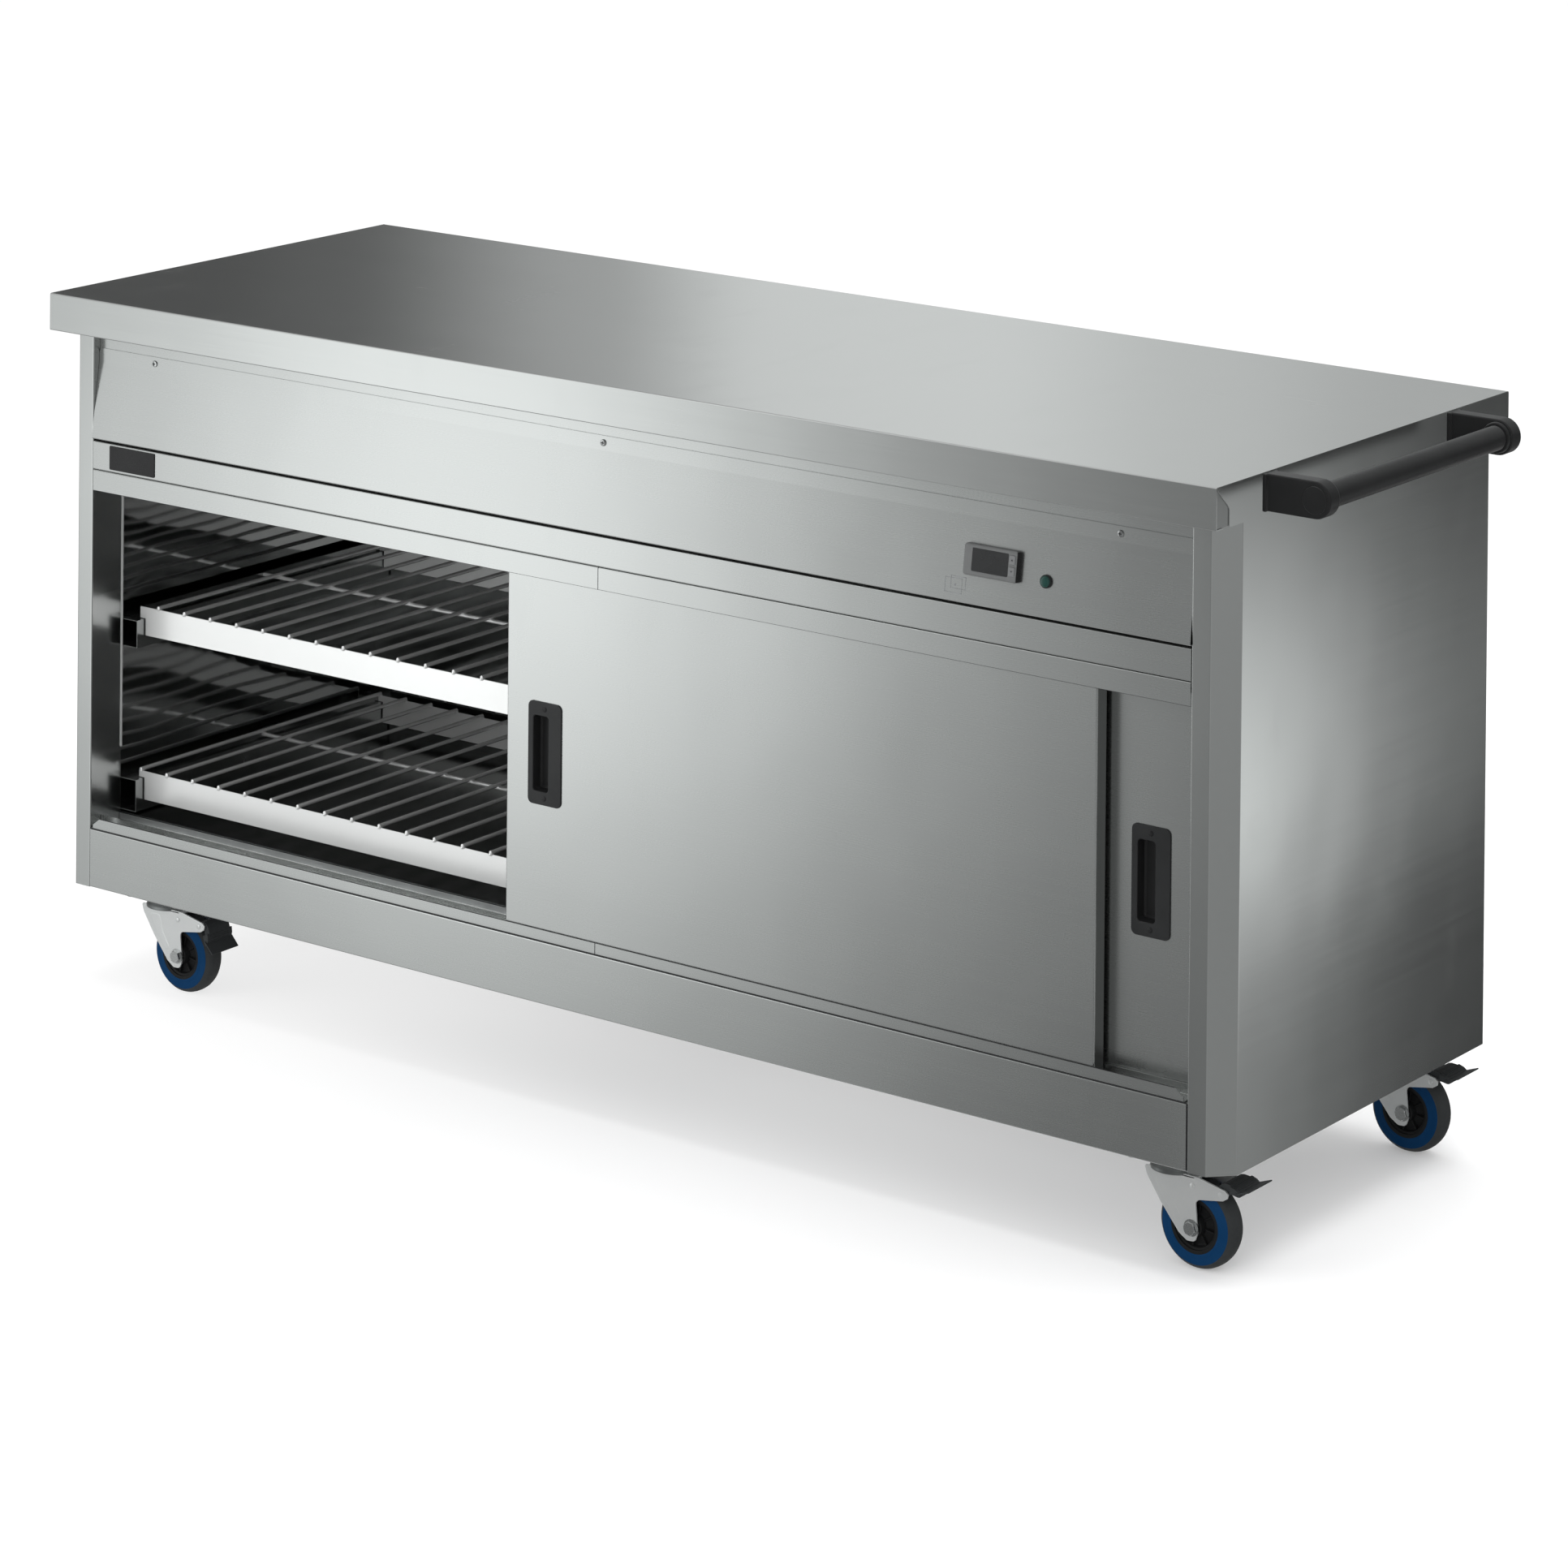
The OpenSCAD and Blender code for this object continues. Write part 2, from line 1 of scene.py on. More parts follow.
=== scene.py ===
"""Looks for the mobile hot cupboard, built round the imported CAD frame."""
import math

import bpy
import bmesh
from mathutils import Vector, Matrix


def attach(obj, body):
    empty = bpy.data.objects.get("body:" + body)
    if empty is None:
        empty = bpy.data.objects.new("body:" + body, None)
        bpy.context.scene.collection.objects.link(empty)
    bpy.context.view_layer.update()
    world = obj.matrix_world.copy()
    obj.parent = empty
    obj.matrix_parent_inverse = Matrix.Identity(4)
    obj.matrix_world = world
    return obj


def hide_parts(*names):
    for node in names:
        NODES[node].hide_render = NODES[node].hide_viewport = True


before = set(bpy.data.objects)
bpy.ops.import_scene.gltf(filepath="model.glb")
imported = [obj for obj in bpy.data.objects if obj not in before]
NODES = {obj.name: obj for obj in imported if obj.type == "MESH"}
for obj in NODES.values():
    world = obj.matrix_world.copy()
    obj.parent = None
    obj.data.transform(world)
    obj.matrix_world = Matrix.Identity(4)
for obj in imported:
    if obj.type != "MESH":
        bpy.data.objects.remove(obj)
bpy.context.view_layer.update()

# ---------------------------------------------------------------- cabinet frame
# Pieces are drawn in cabinet millimetres: x from the left end, y back from the
# worktop's front edge, z up from the floor.
L, D, H = 1800.0, 642.0, 895.0
OX, OY = 943.5, 321.0


def rad(a):
    return math.radians(a)


def lerp(a, b, t):
    return a + (b - a) * t


def rounded(path, r, seg=4, closed=False):
    """Points and left normals along a polyline whose corners are rounded."""
    n = len(path)
    rr = r if isinstance(r, (list, tuple)) else [r] * n
    out = []

    def norm(d):
        return Vector((-d.y, d.x))

    P = [Vector(p) for p in path]
    for i in range(n):
        if not closed and i in (0, n - 1):
            d = (P[1] - P[0]) if i == 0 else (P[-1] - P[-2])
            out.append((P[i].copy(), norm(d.normalized())))
            continue
        a = (P[i] - P[i - 1]).normalized()
        b = (P[(i + 1) % n] - P[i]).normalized()
        turn = math.atan2(a.x * b.y - a.y * b.x, a.dot(b))
        rad_i = rr[i]
        if abs(turn) < 0.02 or rad_i <= 0:
            na, nb = norm(a), norm(b)
            out.append((P[i].copy(), (na + nb) / (1 + na.dot(nb))))
            continue
        tl = rad_i * math.tan(abs(turn) / 2)
        start = P[i] - a * tl
        c = start + norm(a) * rad_i * (1 if turn > 0 else -1)
        k = max(2, int(round(seg * abs(turn) / (math.pi / 2))) + 1)
        for j in range(k + 1):
            t = turn * j / k
            na = norm(a)
            na = Vector((na.x * math.cos(t) - na.y * math.sin(t), na.x * math.sin(t) + na.y * math.cos(t)))
            out.append((c - na * rad_i * (1 if turn > 0 else -1), na))
    return out


def rrect(x0, z0, x1, z1, r, seg=5):
    return [tuple(p) for p, _ in rounded([(x0, z0), (x1, z0), (x1, z1), (x0, z1)], max(r, 0.01), seg, True)]


def circle(cx, cz, r, n=32, a0=0.0):
    return [(cx + r * math.cos(a0 + 2 * math.pi * i / n), cz + r * math.sin(a0 + 2 * math.pi * i / n)) for i in range(n)]


AX = {"x": lambda u, v, a: (a, u, v), "y": lambda u, v, a: (u, a, v), "z": lambda u, v, a: (u, v, a)}


class Piece:
    """A mesh drawn in cabinet millimetres."""

    def __init__(self, material=None):
        self.bm = bmesh.new()
        self.mats = []
        self.cur = 0
        self.M = Matrix.Identity(4)
        if material:
            self.use(material)

    def use(self, material):
        if material not in self.mats:
            self.mats.append(material)
        self.cur = self.mats.index(material)
        return self

    def at(self, M=None):
        self.M = M if M is not None else Matrix.Identity(4)
        return self

    def v(self, p):
        return self.bm.verts.new(self.M @ Vector(p))

    def f(self, vs):
        seen = []
        for x in vs:
            if x not in seen:
                seen.append(x)
        if len(seen) < 3:
            return None
        try:
            f = self.bm.faces.new(seen)
        except ValueError:
            return None
        f.material_index = self.cur
        return f

    def rings(self, rings, closed=True, cap0=True, cap1=True, loop=False):
        vr = []
        for r in rings:
            if len(r) == 1:
                one = self.v(r[0])
                vr.append([one] * max(len(x) for x in rings))
            else:
                vr.append([self.v(p) for p in r])
        fs = []
        n = len(vr[0])
        pairs = list(zip(vr, vr[1:]))
        if loop:
            pairs.append((vr[-1], vr[0]))
        for a, b in pairs:
            for i in range(n if closed else n - 1):
                j = (i + 1) % n
                fs.append(self.f([a[i], a[j], b[j], b[i]]))
        if not loop:
            if cap0 and len(rings[0]) > 1:
                fs.append(self.f(list(reversed(vr[0]))))
            if cap1 and len(rings[-1]) > 1:
                fs.append(self.f(vr[-1]))
        return [f for f in fs if f]

    def bevel(self, fs, off, seg=2, ang=25, pick=None):
        fs = [f for f in fs if f.is_valid]
        bmesh.ops.recalc_face_normals(self.bm, faces=fs)
        es = set()
        for f in fs:
            for e in f.edges:
                if len(e.link_faces) == 2 and e.calc_face_angle(0) > rad(ang):
                    if pick is None or pick(e):
                        es.add(e)
        if es:
            bmesh.ops.bevel(self.bm, geom=list(es), offset=off, offset_type="OFFSET", segments=seg,
                            profile=0.5, affect="EDGES", clamp_overlap=True, material=-1)

    def prism(self, poly, axis, a0, a1, bevel=0, seg=2, ang=25):
        A = AX[axis]
        fs = self.rings([[A(u, w, a0) for u, w in poly], [A(u, w, a1) for u, w in poly]])
        if bevel:
            self.bevel(fs, bevel, seg, ang)
        return fs

    def box(self, lo, hi, bevel=0, seg=2):
        return self.prism([(lo[0], lo[1]), (hi[0], lo[1]), (hi[0], hi[1]), (lo[0], hi[1])], "z", lo[2], hi[2], bevel, seg)

    def sheet(self, path, t, axis, a0, a1, r=2.0, seg=4, closed=False):
        """A folded sheet: path with rounded bends, thickness t to its left."""
        A = AX[axis]
        pts = rounded(path, r, seg)
        outer = [tuple(p) for p, n in pts]
        inner = [tuple(p + n * t) for p, n in pts]
        loop = outer + inner[::-1]
        n = len(outer)
        r0 = [self.v(A(u, w, a0)) for u, w in loop]
        r1 = [self.v(A(u, w, a1)) for u, w in loop]
        m = len(loop)
        for i in range(m):
            j = (i + 1) % m
            self.f([r0[i], r0[j], r1[j], r1[i]])
        for i in range(n - 1):
            for rr in (r0, r1):
                self.f([rr[i], rr[i + 1], rr[m - 2 - i], rr[m - 1 - i]])

    def lathe(self, prof, axis, o, seg=48, loop=False, a0=0.0, ring=None):
        """Turns (radius, height) pairs about an axis through o."""
        rings = []
        for r, h in prof:
            pts = [(0.0, 0.0)] if r < 1e-6 else circle(0, 0, r, seg, a0)
            row = []
            for u, w in pts:
                q = AX[axis](u, w, h)
                row.append((q[0] + o[0], q[1] + o[1], q[2] + o[2]))
            rings.append(row)
        return self.rings(rings, loop=loop)

    def tube(self, pts, r, seg=12, ball=True, closed=False):
        P = [Vector(p) for p in pts]
        n = len(P)
        tang = []
        for i in range(n):
            if closed:
                d = P[(i + 1) % n] - P[i - 1]
            elif i == 0:
                d = P[1] - P[0]
            elif i == n - 1:
                d = P[-1] - P[-2]
            else:
                d = (P[i + 1] - P[i]).normalized() + (P[i] - P[i - 1]).normalized()
            tang.append(d.normalized())
        up = Vector((0, 0, 1)) if abs(tang[0].z) < 0.9 else Vector((1, 0, 0))
        u = tang[0].cross(up).normalized()
        rings = []
        frames = []
        for i in range(n):
            if i:
                q = tang[i - 1].rotation_difference(tang[i])
                u = q @ u
                u = (u - tang[i] * u.dot(tang[i])).normalized()
            frames.append((P[i], u.copy(), tang[i].cross(u)))
        cs = circle(0, 0, 1, seg)

        def row(c, uu, ww, k):
            return [tuple(c + uu * (a * k) + ww * (b * k)) for a, b in cs]

        for c, uu, ww in frames:
            rings.append(row(c, uu, ww, r))
        if not closed and ball:
            c, uu, ww = frames[0]
            pre = [row(c - tang[0] * (r * 0.5 * math.sin(a)), uu, ww, r * math.cos(a)) for a in (rad(72), rad(45), rad(20))]
            c, uu, ww = frames[-1]
            post = [row(c + tang[-1] * (r * 0.5 * math.sin(a)), uu, ww, r * math.cos(a)) for a in (rad(20), rad(45), rad(72))]
            rings = pre + rings + post
        return self.rings(rings, loop=closed)

    def hexagon(self, c, axis, r, h0, h1, chamfer=0.8, a0=0.0):
        """A hexagon bolt head or nut with chamfered corners on its outer end."""
        s = 1 if h1 > h0 else -1
        hexa = []
        for i in range(24):
            a = 2 * math.pi * i / 24 + a0
            k = math.cos(math.pi / 6) / math.cos(((a - a0 + math.pi / 6) % (math.pi / 3)) - math.pi / 6)
            hexa.append((math.cos(a) * r * k, math.sin(a) * r * k))
        lim = r * math.cos(math.pi / 6) * 0.97

        def row(h, clip):
            out = []
            for x, y in hexa:
                d = math.hypot(x, y)
                s2 = min(1, clip / d)
                q = AX[axis](x * s2, y * s2, h)
                out.append((q[0] + c[0], q[1] + c[1], q[2] + c[2]))
            return out
        return self.rings([row(h0, r), row(h1 - s * chamfer, r), row(h1, lim)])

    def make(self, name, body, slot, stands_for=(), sharp=32, weighted=True):
        bmesh.ops.recalc_face_normals(self.bm, faces=self.bm.faces[:])
        for v in self.bm.verts:
            v.co = Vector(((v.co.x - OX) / 1000, (v.co.y - OY) / 1000, v.co.z / 1000))
        me = bpy.data.meshes.new(name)
        self.bm.to_mesh(me)
        self.bm.free()
        for m in self.mats:
            me.materials.append(m)
        me.polygons.foreach_set("use_smooth", [True] * len(me.polygons))
        me.set_sharp_from_angle(angle=rad(sharp))
        ob = bpy.data.objects.new(name, me)
        bpy.context.scene.collection.objects.link(ob)
        if weighted:
            w = ob.modifiers.new("normals", "WEIGHTED_NORMAL")
            w.keep_sharp = True
            w.weight = 50
        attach(ob, body)
        if stands_for:
            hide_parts(*stands_for)
        return ob


# ---------------------------------------------------------------- materials
class Graph:
    def __init__(self, name):
        self.m = bpy.data.materials.new(name)
        self.m.use_nodes = True
        self.t = self.m.node_tree
        self.t.nodes.clear()
        self.out = self.n("OutputMaterial")
        self.b = self.n("BsdfPrincipled")
        self.link(self.b.outputs[0], self.out.inputs[0])
        self.co = self.n("TexCoord").outputs["Object"]

    def n(self, kind, **kw):
        x = self.t.nodes.new("ShaderNode" + kind)
        for k, val in kw.items():
            setattr(x, k, val)
        return x

    def link(self, a, b):
        self.t.links.new(a, b)

    def put(self, sock, val):
        if isinstance(val, bpy.types.NodeSocket):
            self.link(val, sock)
        else:
            sock.default_value = val

    def noise(self, scale, detail=3.0, rough=0.55, stretch=(1, 1, 1), shift=(0, 0, 0), distort=0.0):
        mp = self.n("Mapping")
        self.link(self.co, mp.inputs["Vector"])
        mp.inputs["Scale"].default_value = stretch
        mp.inputs["Location"].default_value = shift
        x = self.n("TexNoise")
        x.inputs["Scale"].default_value = scale
        x.inputs["Detail"].default_value = detail
        x.inputs["Roughness"].default_value = rough
        x.inputs["Distortion"].default_value = distort
        self.link(mp.outputs[0], x.inputs["Vector"])
        return x.outputs[0]

    def voronoi(self, scale, feature="F1", stretch=(1, 1, 1)):
        mp = self.n("Mapping")
        self.link(self.co, mp.inputs["Vector"])
        mp.inputs["Scale"].default_value = stretch
        x = self.n("TexVoronoi", feature=feature)
        x.inputs["Scale"].default_value = scale
        self.link(mp.outputs[0], x.inputs["Vector"])
        return x.outputs["Distance"]

    def remap(self, val, a, b, c, d, clamp=True):
        x = self.n("MapRange", clamp=clamp)
        self.put(x.inputs["Value"], val)
        for i, q in zip(("From Min", "From Max", "To Min", "To Max"), (a, b, c, d)):
            x.inputs[i].default_value = q
        return x.outputs["Result"]

    def math(self, op, a, b=0.0):
        x = self.n("Math", operation=op)
        self.put(x.inputs[0], a)
        self.put(x.inputs[1], b)
        return x.outputs[0]

    def add(self, *vals):
        r = vals[0]
        for x in vals[1:]:
            r = self.math("ADD", r, x)
        return r

    def mix(self, fac, a, b):
        x = self.n("Mix", data_type="RGBA")
        self.put(x.inputs["Factor"], fac)
        self.put(x.inputs[6], a if isinstance(a, bpy.types.NodeSocket) else (*a, 1))
        self.put(x.inputs[7], b if isinstance(b, bpy.types.NodeSocket) else (*b, 1))
        return x.outputs[2]

    def bump(self, height, dist, strength=1.0, normal=None):
        x = self.n("Bump")
        x.inputs["Strength"].default_value = strength
        x.inputs["Distance"].default_value = dist
        self.put(x.inputs["Height"], height)
        if normal is not None:
            self.link(normal, x.inputs["Normal"])
        return x.outputs[0]

    def set(self, **kw):
        names = {"color": "Base Color", "rough": "Roughness", "metal": "Metallic", "ior": "IOR", "coat": "Coat Weight",
                 "coat_rough": "Coat Roughness", "aniso": "Anisotropic", "tangent": "Tangent", "normal": "Normal",
                 "spec": "Specular IOR Level", "sheen": "Sheen Weight", "emit": "Emission Color", "emit_k": "Emission Strength",
                 "trans": "Transmission Weight", "sub": "Subsurface Weight"}
        for k, val in kw.items():
            s = self.b.inputs[names[k]]
            if k in ("color", "emit") and not isinstance(val, bpy.types.NodeSocket):
                val = (*val, 1)
            self.put(s, val)
        return self.m


def brushed(name, base, rough, along="x", aniso=0.55, fine=1.0, wave=0.00035, smudge=0.05, seed=0.0):
    """Brushed stainless: fine lines, wider streaks, slight waviness and handling marks."""
    g = Graph(name)
    lo = {"x": (2.2, 1, 1), "y": (1, 2.2, 1), "z": (1, 1, 2.2)}[along]
    k = {"x": (0.004, 1, 1), "y": (1, 0.004, 1), "z": (1, 1, 0.004)}[along]
    k2 = {"x": (0.02, 1, 1), "y": (1, 0.02, 1), "z": (1, 1, 0.02)}[along]
    sh = (seed, seed * 1.7, seed * 0.6)
    fine_n = g.noise(2600, 2, 0.6, k, sh)
    med_n = g.noise(150, 3, 0.6, k2, sh)
    low_n = g.noise(2.6, 2, 0.5, (1, 1, 1), sh)
    mark = g.remap(g.noise(7.0, 5, 0.6, lo, sh, 0.4), 0.52, 0.78, 0, 1)
    tone = g.add(g.remap(fine_n, 0, 1, -0.055 * fine, 0.055 * fine), g.remap(med_n, 0.2, 0.8, -0.022 * fine, 0.022 * fine), 1.0)
    col = g.n("VectorMath", operation="SCALE")
    col.inputs[0].default_value = base
    g.link(tone, col.inputs["Scale"])
    rgh = g.add(g.remap(fine_n, 0, 1, rough - 0.05 * fine, rough + 0.05 * fine), g.remap(med_n, 0.2, 0.8, -0.02 * fine, 0.02 * fine), g.math("MULTIPLY", mark, smudge))
    tan = g.n("CombineXYZ")
    for i, q in enumerate({"x": (0.02, 1, 1.001), "y": (0.6, 0.02, 1), "z": (1, 1, 0.02)}[along]):
        tan.inputs[i].default_value = q
    nb = g.bump(low_n, wave * 8)
    nb = g.bump(fine_n, 0.0000035 * fine * fine, 1.0, nb)
    return g.set(color=col.outputs[0], rough=rgh, metal=1.0, aniso=aniso, tangent=tan.outputs[0], normal=nb)


def cast_metal(name, base, rough, grain=900, depth=0.00002, tint=None, spangle=0.0, mott=1.0, metal=1.0):
    g = Graph(name)
    n1 = g.noise(grain, 3, 0.6)
    n2 = g.noise(24, 4, 0.6)
    col = g.mix(g.remap(n2, 0.3, 0.7, 0, 1), base, tint or tuple(c * 0.86 for c in base))
    r = g.add(g.remap(n1, 0.3, 0.7, rough - 0.04 * mott, rough + 0.04 * mott), g.remap(n2, 0.3, 0.7, -0.05 * mott, 0.06 * mott))
    nb = g.bump(n1, depth)
    if spangle:
        v = g.voronoi(95)
        r = g.add(r, g.remap(v, 0, 1, -spangle, spangle))
    return g.set(color=col, rough=r, metal=metal, normal=nb)


def plastic(name, base, rough, grain=1500, depth=0.00003, wear=0.06, coat=0.0, spec=0.5):
    g = Graph(name)
    n1 = g.noise(grain, 2, 0.5)
    n2 = g.noise(18, 4, 0.6)
    n3 = g.remap(g.noise(60, 5, 0.65), 0.5, 0.75, 0, 1)
    col = g.mix(g.remap(n2, 0.3, 0.7, 0, 0.6), base, tuple(min(1, c * 1.25 + 0.004) for c in base))
    r = g.add(g.remap(n1, 0.3, 0.7, rough - 0.04, rough + 0.04), g.math("MULTIPLY", n3, wear))
    return g.set(color=col, rough=r, metal=0.0, normal=g.bump(n1, depth), coat=coat, coat_rough=0.15, spec=spec)


STEEL = (0.70, 0.712, 0.705)
TOP = brushed("worktop brushed steel", STEEL, 0.24, "x", 0.5, fine=0.7, smudge=0.03, seed=1.0)
FRONT = brushed("front brushed steel", STEEL, 0.27, "x", 0.5, fine=0.26, smudge=0.015, seed=3.0)
DOOR = brushed("door brushed steel", STEEL, 0.27, "x", 0.5, fine=0.26, smudge=0.015, seed=8.0)
# darker copy of the steel for the fold returns: painted shade
FOLD_PAINTED_SHADE = brushed("fold return steel, painted shade", tuple(c * 0.72 for c in STEEL), 0.3, "z", 0.3, fine=0.3, smudge=0.02, seed=6.0)
# darker copy of the door steel for the doors' end faces: painted shade
DOOR_EDGE_PAINTED_SHADE = brushed("door edge steel, painted shade", tuple(c * 0.34 for c in STEEL), 0.3, "z", 0.3, fine=0.3, smudge=0.02, seed=9.0)
SIDE = brushed("side brushed steel", STEEL, 0.2, "y", 0.3, fine=0.6, smudge=0.03, seed=5.0)
# liner steel darkened well below the liner ends: painted shade inside the cabinet
LINER_PAINTED_SHADE = brushed("liner bright steel, darkened as painted shade", (0.3, 0.305, 0.302), 0.09, "x", 0.1, fine=0.4, wave=0.0006, smudge=0.12, seed=11.0)
INNER_SIDE = brushed("liner end steel", (0.52, 0.53, 0.525), 0.22, "z", 0.2, fine=0.6, wave=0.0004, smudge=0.1, seed=13.0)
MIRROR = brushed("liner end bright steel", (0.62, 0.63, 0.625), 0.045, "z", 0.0, fine=0.25, wave=0.0007, smudge=0.04, seed=14.0)
# liner floor steel darkened far below the liner ends: painted shade on the cabinet floor
LINER_FLOOR_PAINTED_SHADE = brushed("liner floor steel, darkened as painted shade", (0.16, 0.165, 0.162), 0.16, "x", 0.3, fine=0.6, wave=0.0004, smudge=0.12, seed=17.0)
RACK = cast_metal("bright plated rack", (0.93, 0.935, 0.93), 0.26, 160, 0.0000008, (0.915, 0.92, 0.915), mott=0.1, metal=0.72)
RACK_ROD = cast_metal("plated rod", (0.9, 0.905, 0.9), 0.24, 700, 0.000004, mott=0.4, metal=0.72)
GALV = cast_metal("galvanised sheet", (0.62, 0.63, 0.635), 0.42, 500, 0.00002, (0.5, 0.51, 0.52), 0.1)
TRACK = cast_metal("drawn aluminium", (0.66, 0.67, 0.67), 0.36, 900, 0.000008)
ZINC = cast_metal("zinc plate", (0.78, 0.79, 0.785), 0.36, 600, 0.000004, (0.73, 0.745, 0.745), mott=0.6, metal=0.8)
ZINC_DARK = cast_metal("zinc in shade", (0.3, 0.31, 0.31), 0.4, 600, 0.000004)
SCREW = cast_metal("screw steel", (0.72, 0.73, 0.73), 0.25, 1200, 0.000008)
# dark plastic used as painted shade in sheet gaps, edge lines and screw recesses
GAP_PAINTED_SHADE = plastic("painted shade in gaps and recesses", (0.012, 0.012, 0.013), 0.5)
BLACK = plastic("black grained plastic", (0.011, 0.0115, 0.012), 0.42, 2200, 0.00004, spec=0.35)
HANDLE = plastic("handle black", (0.0075, 0.0077, 0.008), 0.34, 1800, 0.00003, spec=0.3)
CUP = plastic("pull cup black", (0.006, 0.0062, 0.0065), 0.5, 1500, 0.00003)
BADGE = plastic("blank badge", (0.006, 0.006, 0.0065), 0.3, 600, 0.000004, 0.1, 0.0, 0.35)
BEZEL = plastic("controller bezel", (0.085, 0.088, 0.088), 0.42, 2500, 0.00002)
WINDOW = plastic("controller window", (0.014, 0.0145, 0.015), 0.15, 400, 0.000002, 0.08, 0.1)
KEY = plastic("key grey", (0.105, 0.108, 0.11), 0.45, 2500, 0.00002)
ETCH = plastic("etched line", (0.12, 0.125, 0.13), 0.6)
LAMP = plastic("green lens", (0.004, 0.03, 0.024), 0.22, 300, 0.00001, 0.05, 0.2)
RUBBER = plastic("black rubber", (0.006, 0.0064, 0.0066), 0.62, 1200, 0.00005, 0.12, spec=0.15)
CABLE = plastic("cable sheath", (0.012, 0.012, 0.013), 0.48, 1600, 0.00004)
TREAD = plastic("tyre tread", (0.018, 0.02, 0.021), 0.6, 700, 0.00005, 0.2, spec=0.3)
BLUE = plastic("blue tyre band", (0.0004, 0.02, 0.062), 0.5, 900, 0.00003, 0.15, spec=0.05)
HUB = plastic("hub nylon", (0.005, 0.0052, 0.0055), 0.55, 1500, 0.00003, spec=0.2)
PEDAL = plastic("pedal nylon", (0.019, 0.021, 0.022), 0.5, 1800, 0.00005, 0.12, spec=0.25)
NYLON = plastic("white nylon", (0.72, 0.70, 0.64), 0.45, 900, 0.00002)
WOOL = plastic("mineral wool", (0.55, 0.47, 0.22), 0.95, 260, 0.0012)
SHEATH = cast_metal("heater sheath", (0.30, 0.24, 0.19), 0.45, 500, 0.00003)
MOTOR = cast_metal("motor casing", (0.14, 0.145, 0.15), 0.4, 900, 0.00002)

# ---------------------------------------------------------------- shell
T = 1.2
p = Piece(TOP)
p.sheet([(14, 847), (0, 847), (0, 895), (642, 895), (642, 863), (630, 863)], -1.5, "x", 0, L, [0, 1.8, 2.2, 2.2, 1.8, 0])
# returns that close the fold just inside the two ends, in a darker copy of the steel that paints the shade inside the
# fold
p.use(FOLD_PAINTED_SHADE)
for a in (1.4, L - 2.6):
    p.box((a, 1.6, 848.6), (a + 1.2, 33, 893.4), 0, 1)
p.make("worktop_sheet", "root", "brushed_steel", ["worktop"])

EAR = [(27, 847), (27, 866), (26.4, 868.2), (24.5, 870.8), (20, 875.2), (15, 879.5), (9.5, 884.6), (6, 888.2), (4, 890.9), (3, 893.4)]


def side_panel(mirror):
    def X(x):
        return L - x if mirror else x
    p = Piece(SIDE)
    p.sheet([(X(50), 84), (X(50), 30), (X(25), 30), (X(0), 55), (X(0), 597), (X(18), 597)],
            T if mirror else -T, "z", 125, 893.4, [0, 1.8, 2.4, 2.4, 1.8, 0], 5)
    a, b = sorted((X(0), X(T)))
    p.prism([(56, 847)] + EAR + [(56, 893.4)], "x", a, b)
    p.box((a, 595.2, 847), (b, 640.2, 893.4))
    return p


side_panel(False).make("side_panel_l", "root", "brushed_steel", ["side_panel_left"])
side_panel(True).make("side_panel_r", "root", "brushed_steel", ["side_panel_right"])

X0, X1 = 50.3, L - 50.3
p = Piece(FRONT)
p.sheet([(75, 798), (41.2, 798), (41.2, 845.5), (75, 845.5)], -T, "x", X0, X1, 1.6)
p.make("upper_rail_sheet", "root", "brushed_steel", ["top_rail"])

p = Piece(FRONT)
p.sheet([(39.9, 818), (39.9, 806), (27, 708), (64, 708), (64, 728)], T, "x", X0, X1, [0, 3.0, 1.8, 1.8, 0])
lip = [(X0, 818)] + [(X1, 818)] + [(X1 - 6 + 6 * math.cos(rad(a)), 818 + 6 * math.sin(rad(a))) for a in range(15, 91, 15)] + \
      [(X0 + 6 + 6 * math.cos(rad(a)), 818 + 6 * math.sin(rad(a))) for a in range(90, 166, 15)]
p.prism(lip, "y", 39.9, 41.1)
# painted shade: dark strips for the shadow line under the lip's top edge and the gap at the panel's right end
p.use(GAP_PAINTED_SHADE)
p.box((X0 + 6, 41.0, 817.8), (X1 - 6, 41.18, 818.9))
p.box((X1 - 1.0, 39.75, 812), (X1 + 0.1, 41.1, 845.5))
p.make("control_panel_sheet", "root", "brushed_steel", ["control_panel"])

p = Piece(FRONT)
p.sheet([(80, 668), (30, 668), (30, 704.6), (80, 704.6)], -T, "x", X0, X1, 1.8)
p.make("lower_rail_sheet", "root", "brushed_steel", ["lower_rail"])

p = Piece(FRONT)
p.sheet([(43, 125.2), (30, 125.2), (30, 200.6), (82, 200.6)], -T, "x", X0, X1, 1.8)
# painted shade: a dark strip for the shadowed joint where the plinth meets the right post
p.use(GAP_PAINTED_SHADE)
p.box((X1 - 1.0, 29.9, 127), (X1 + 0.1, 31, 200), 0, 1)
p.make("plinth_sheet", "root", "brushed_steel", ["plinth_panel"])

p = Piece(FRONT)
for a, b in ((X0 + 0.3, 899.4), (900.4, X1 - 0.3)):
    p.sheet([(30, 641), (30, 667.4), (80, 667.4)], -T, "x", a, b, 1.8)
# painted shade: dark strips for the shadowed middle joint and the line under the covers' bottom edge
p.use(GAP_PAINTED_SHADE)
p.box((899.45, 30.1, 641.2), (900.35, 31.0, 667.0))
p.box((X0 + 0.3, 30.1, 640.55), (X1 - 0.3, 31.0, 641.02))
p.make("header_cover_sheets", "root", "brushed_steel", ["header_covers"])

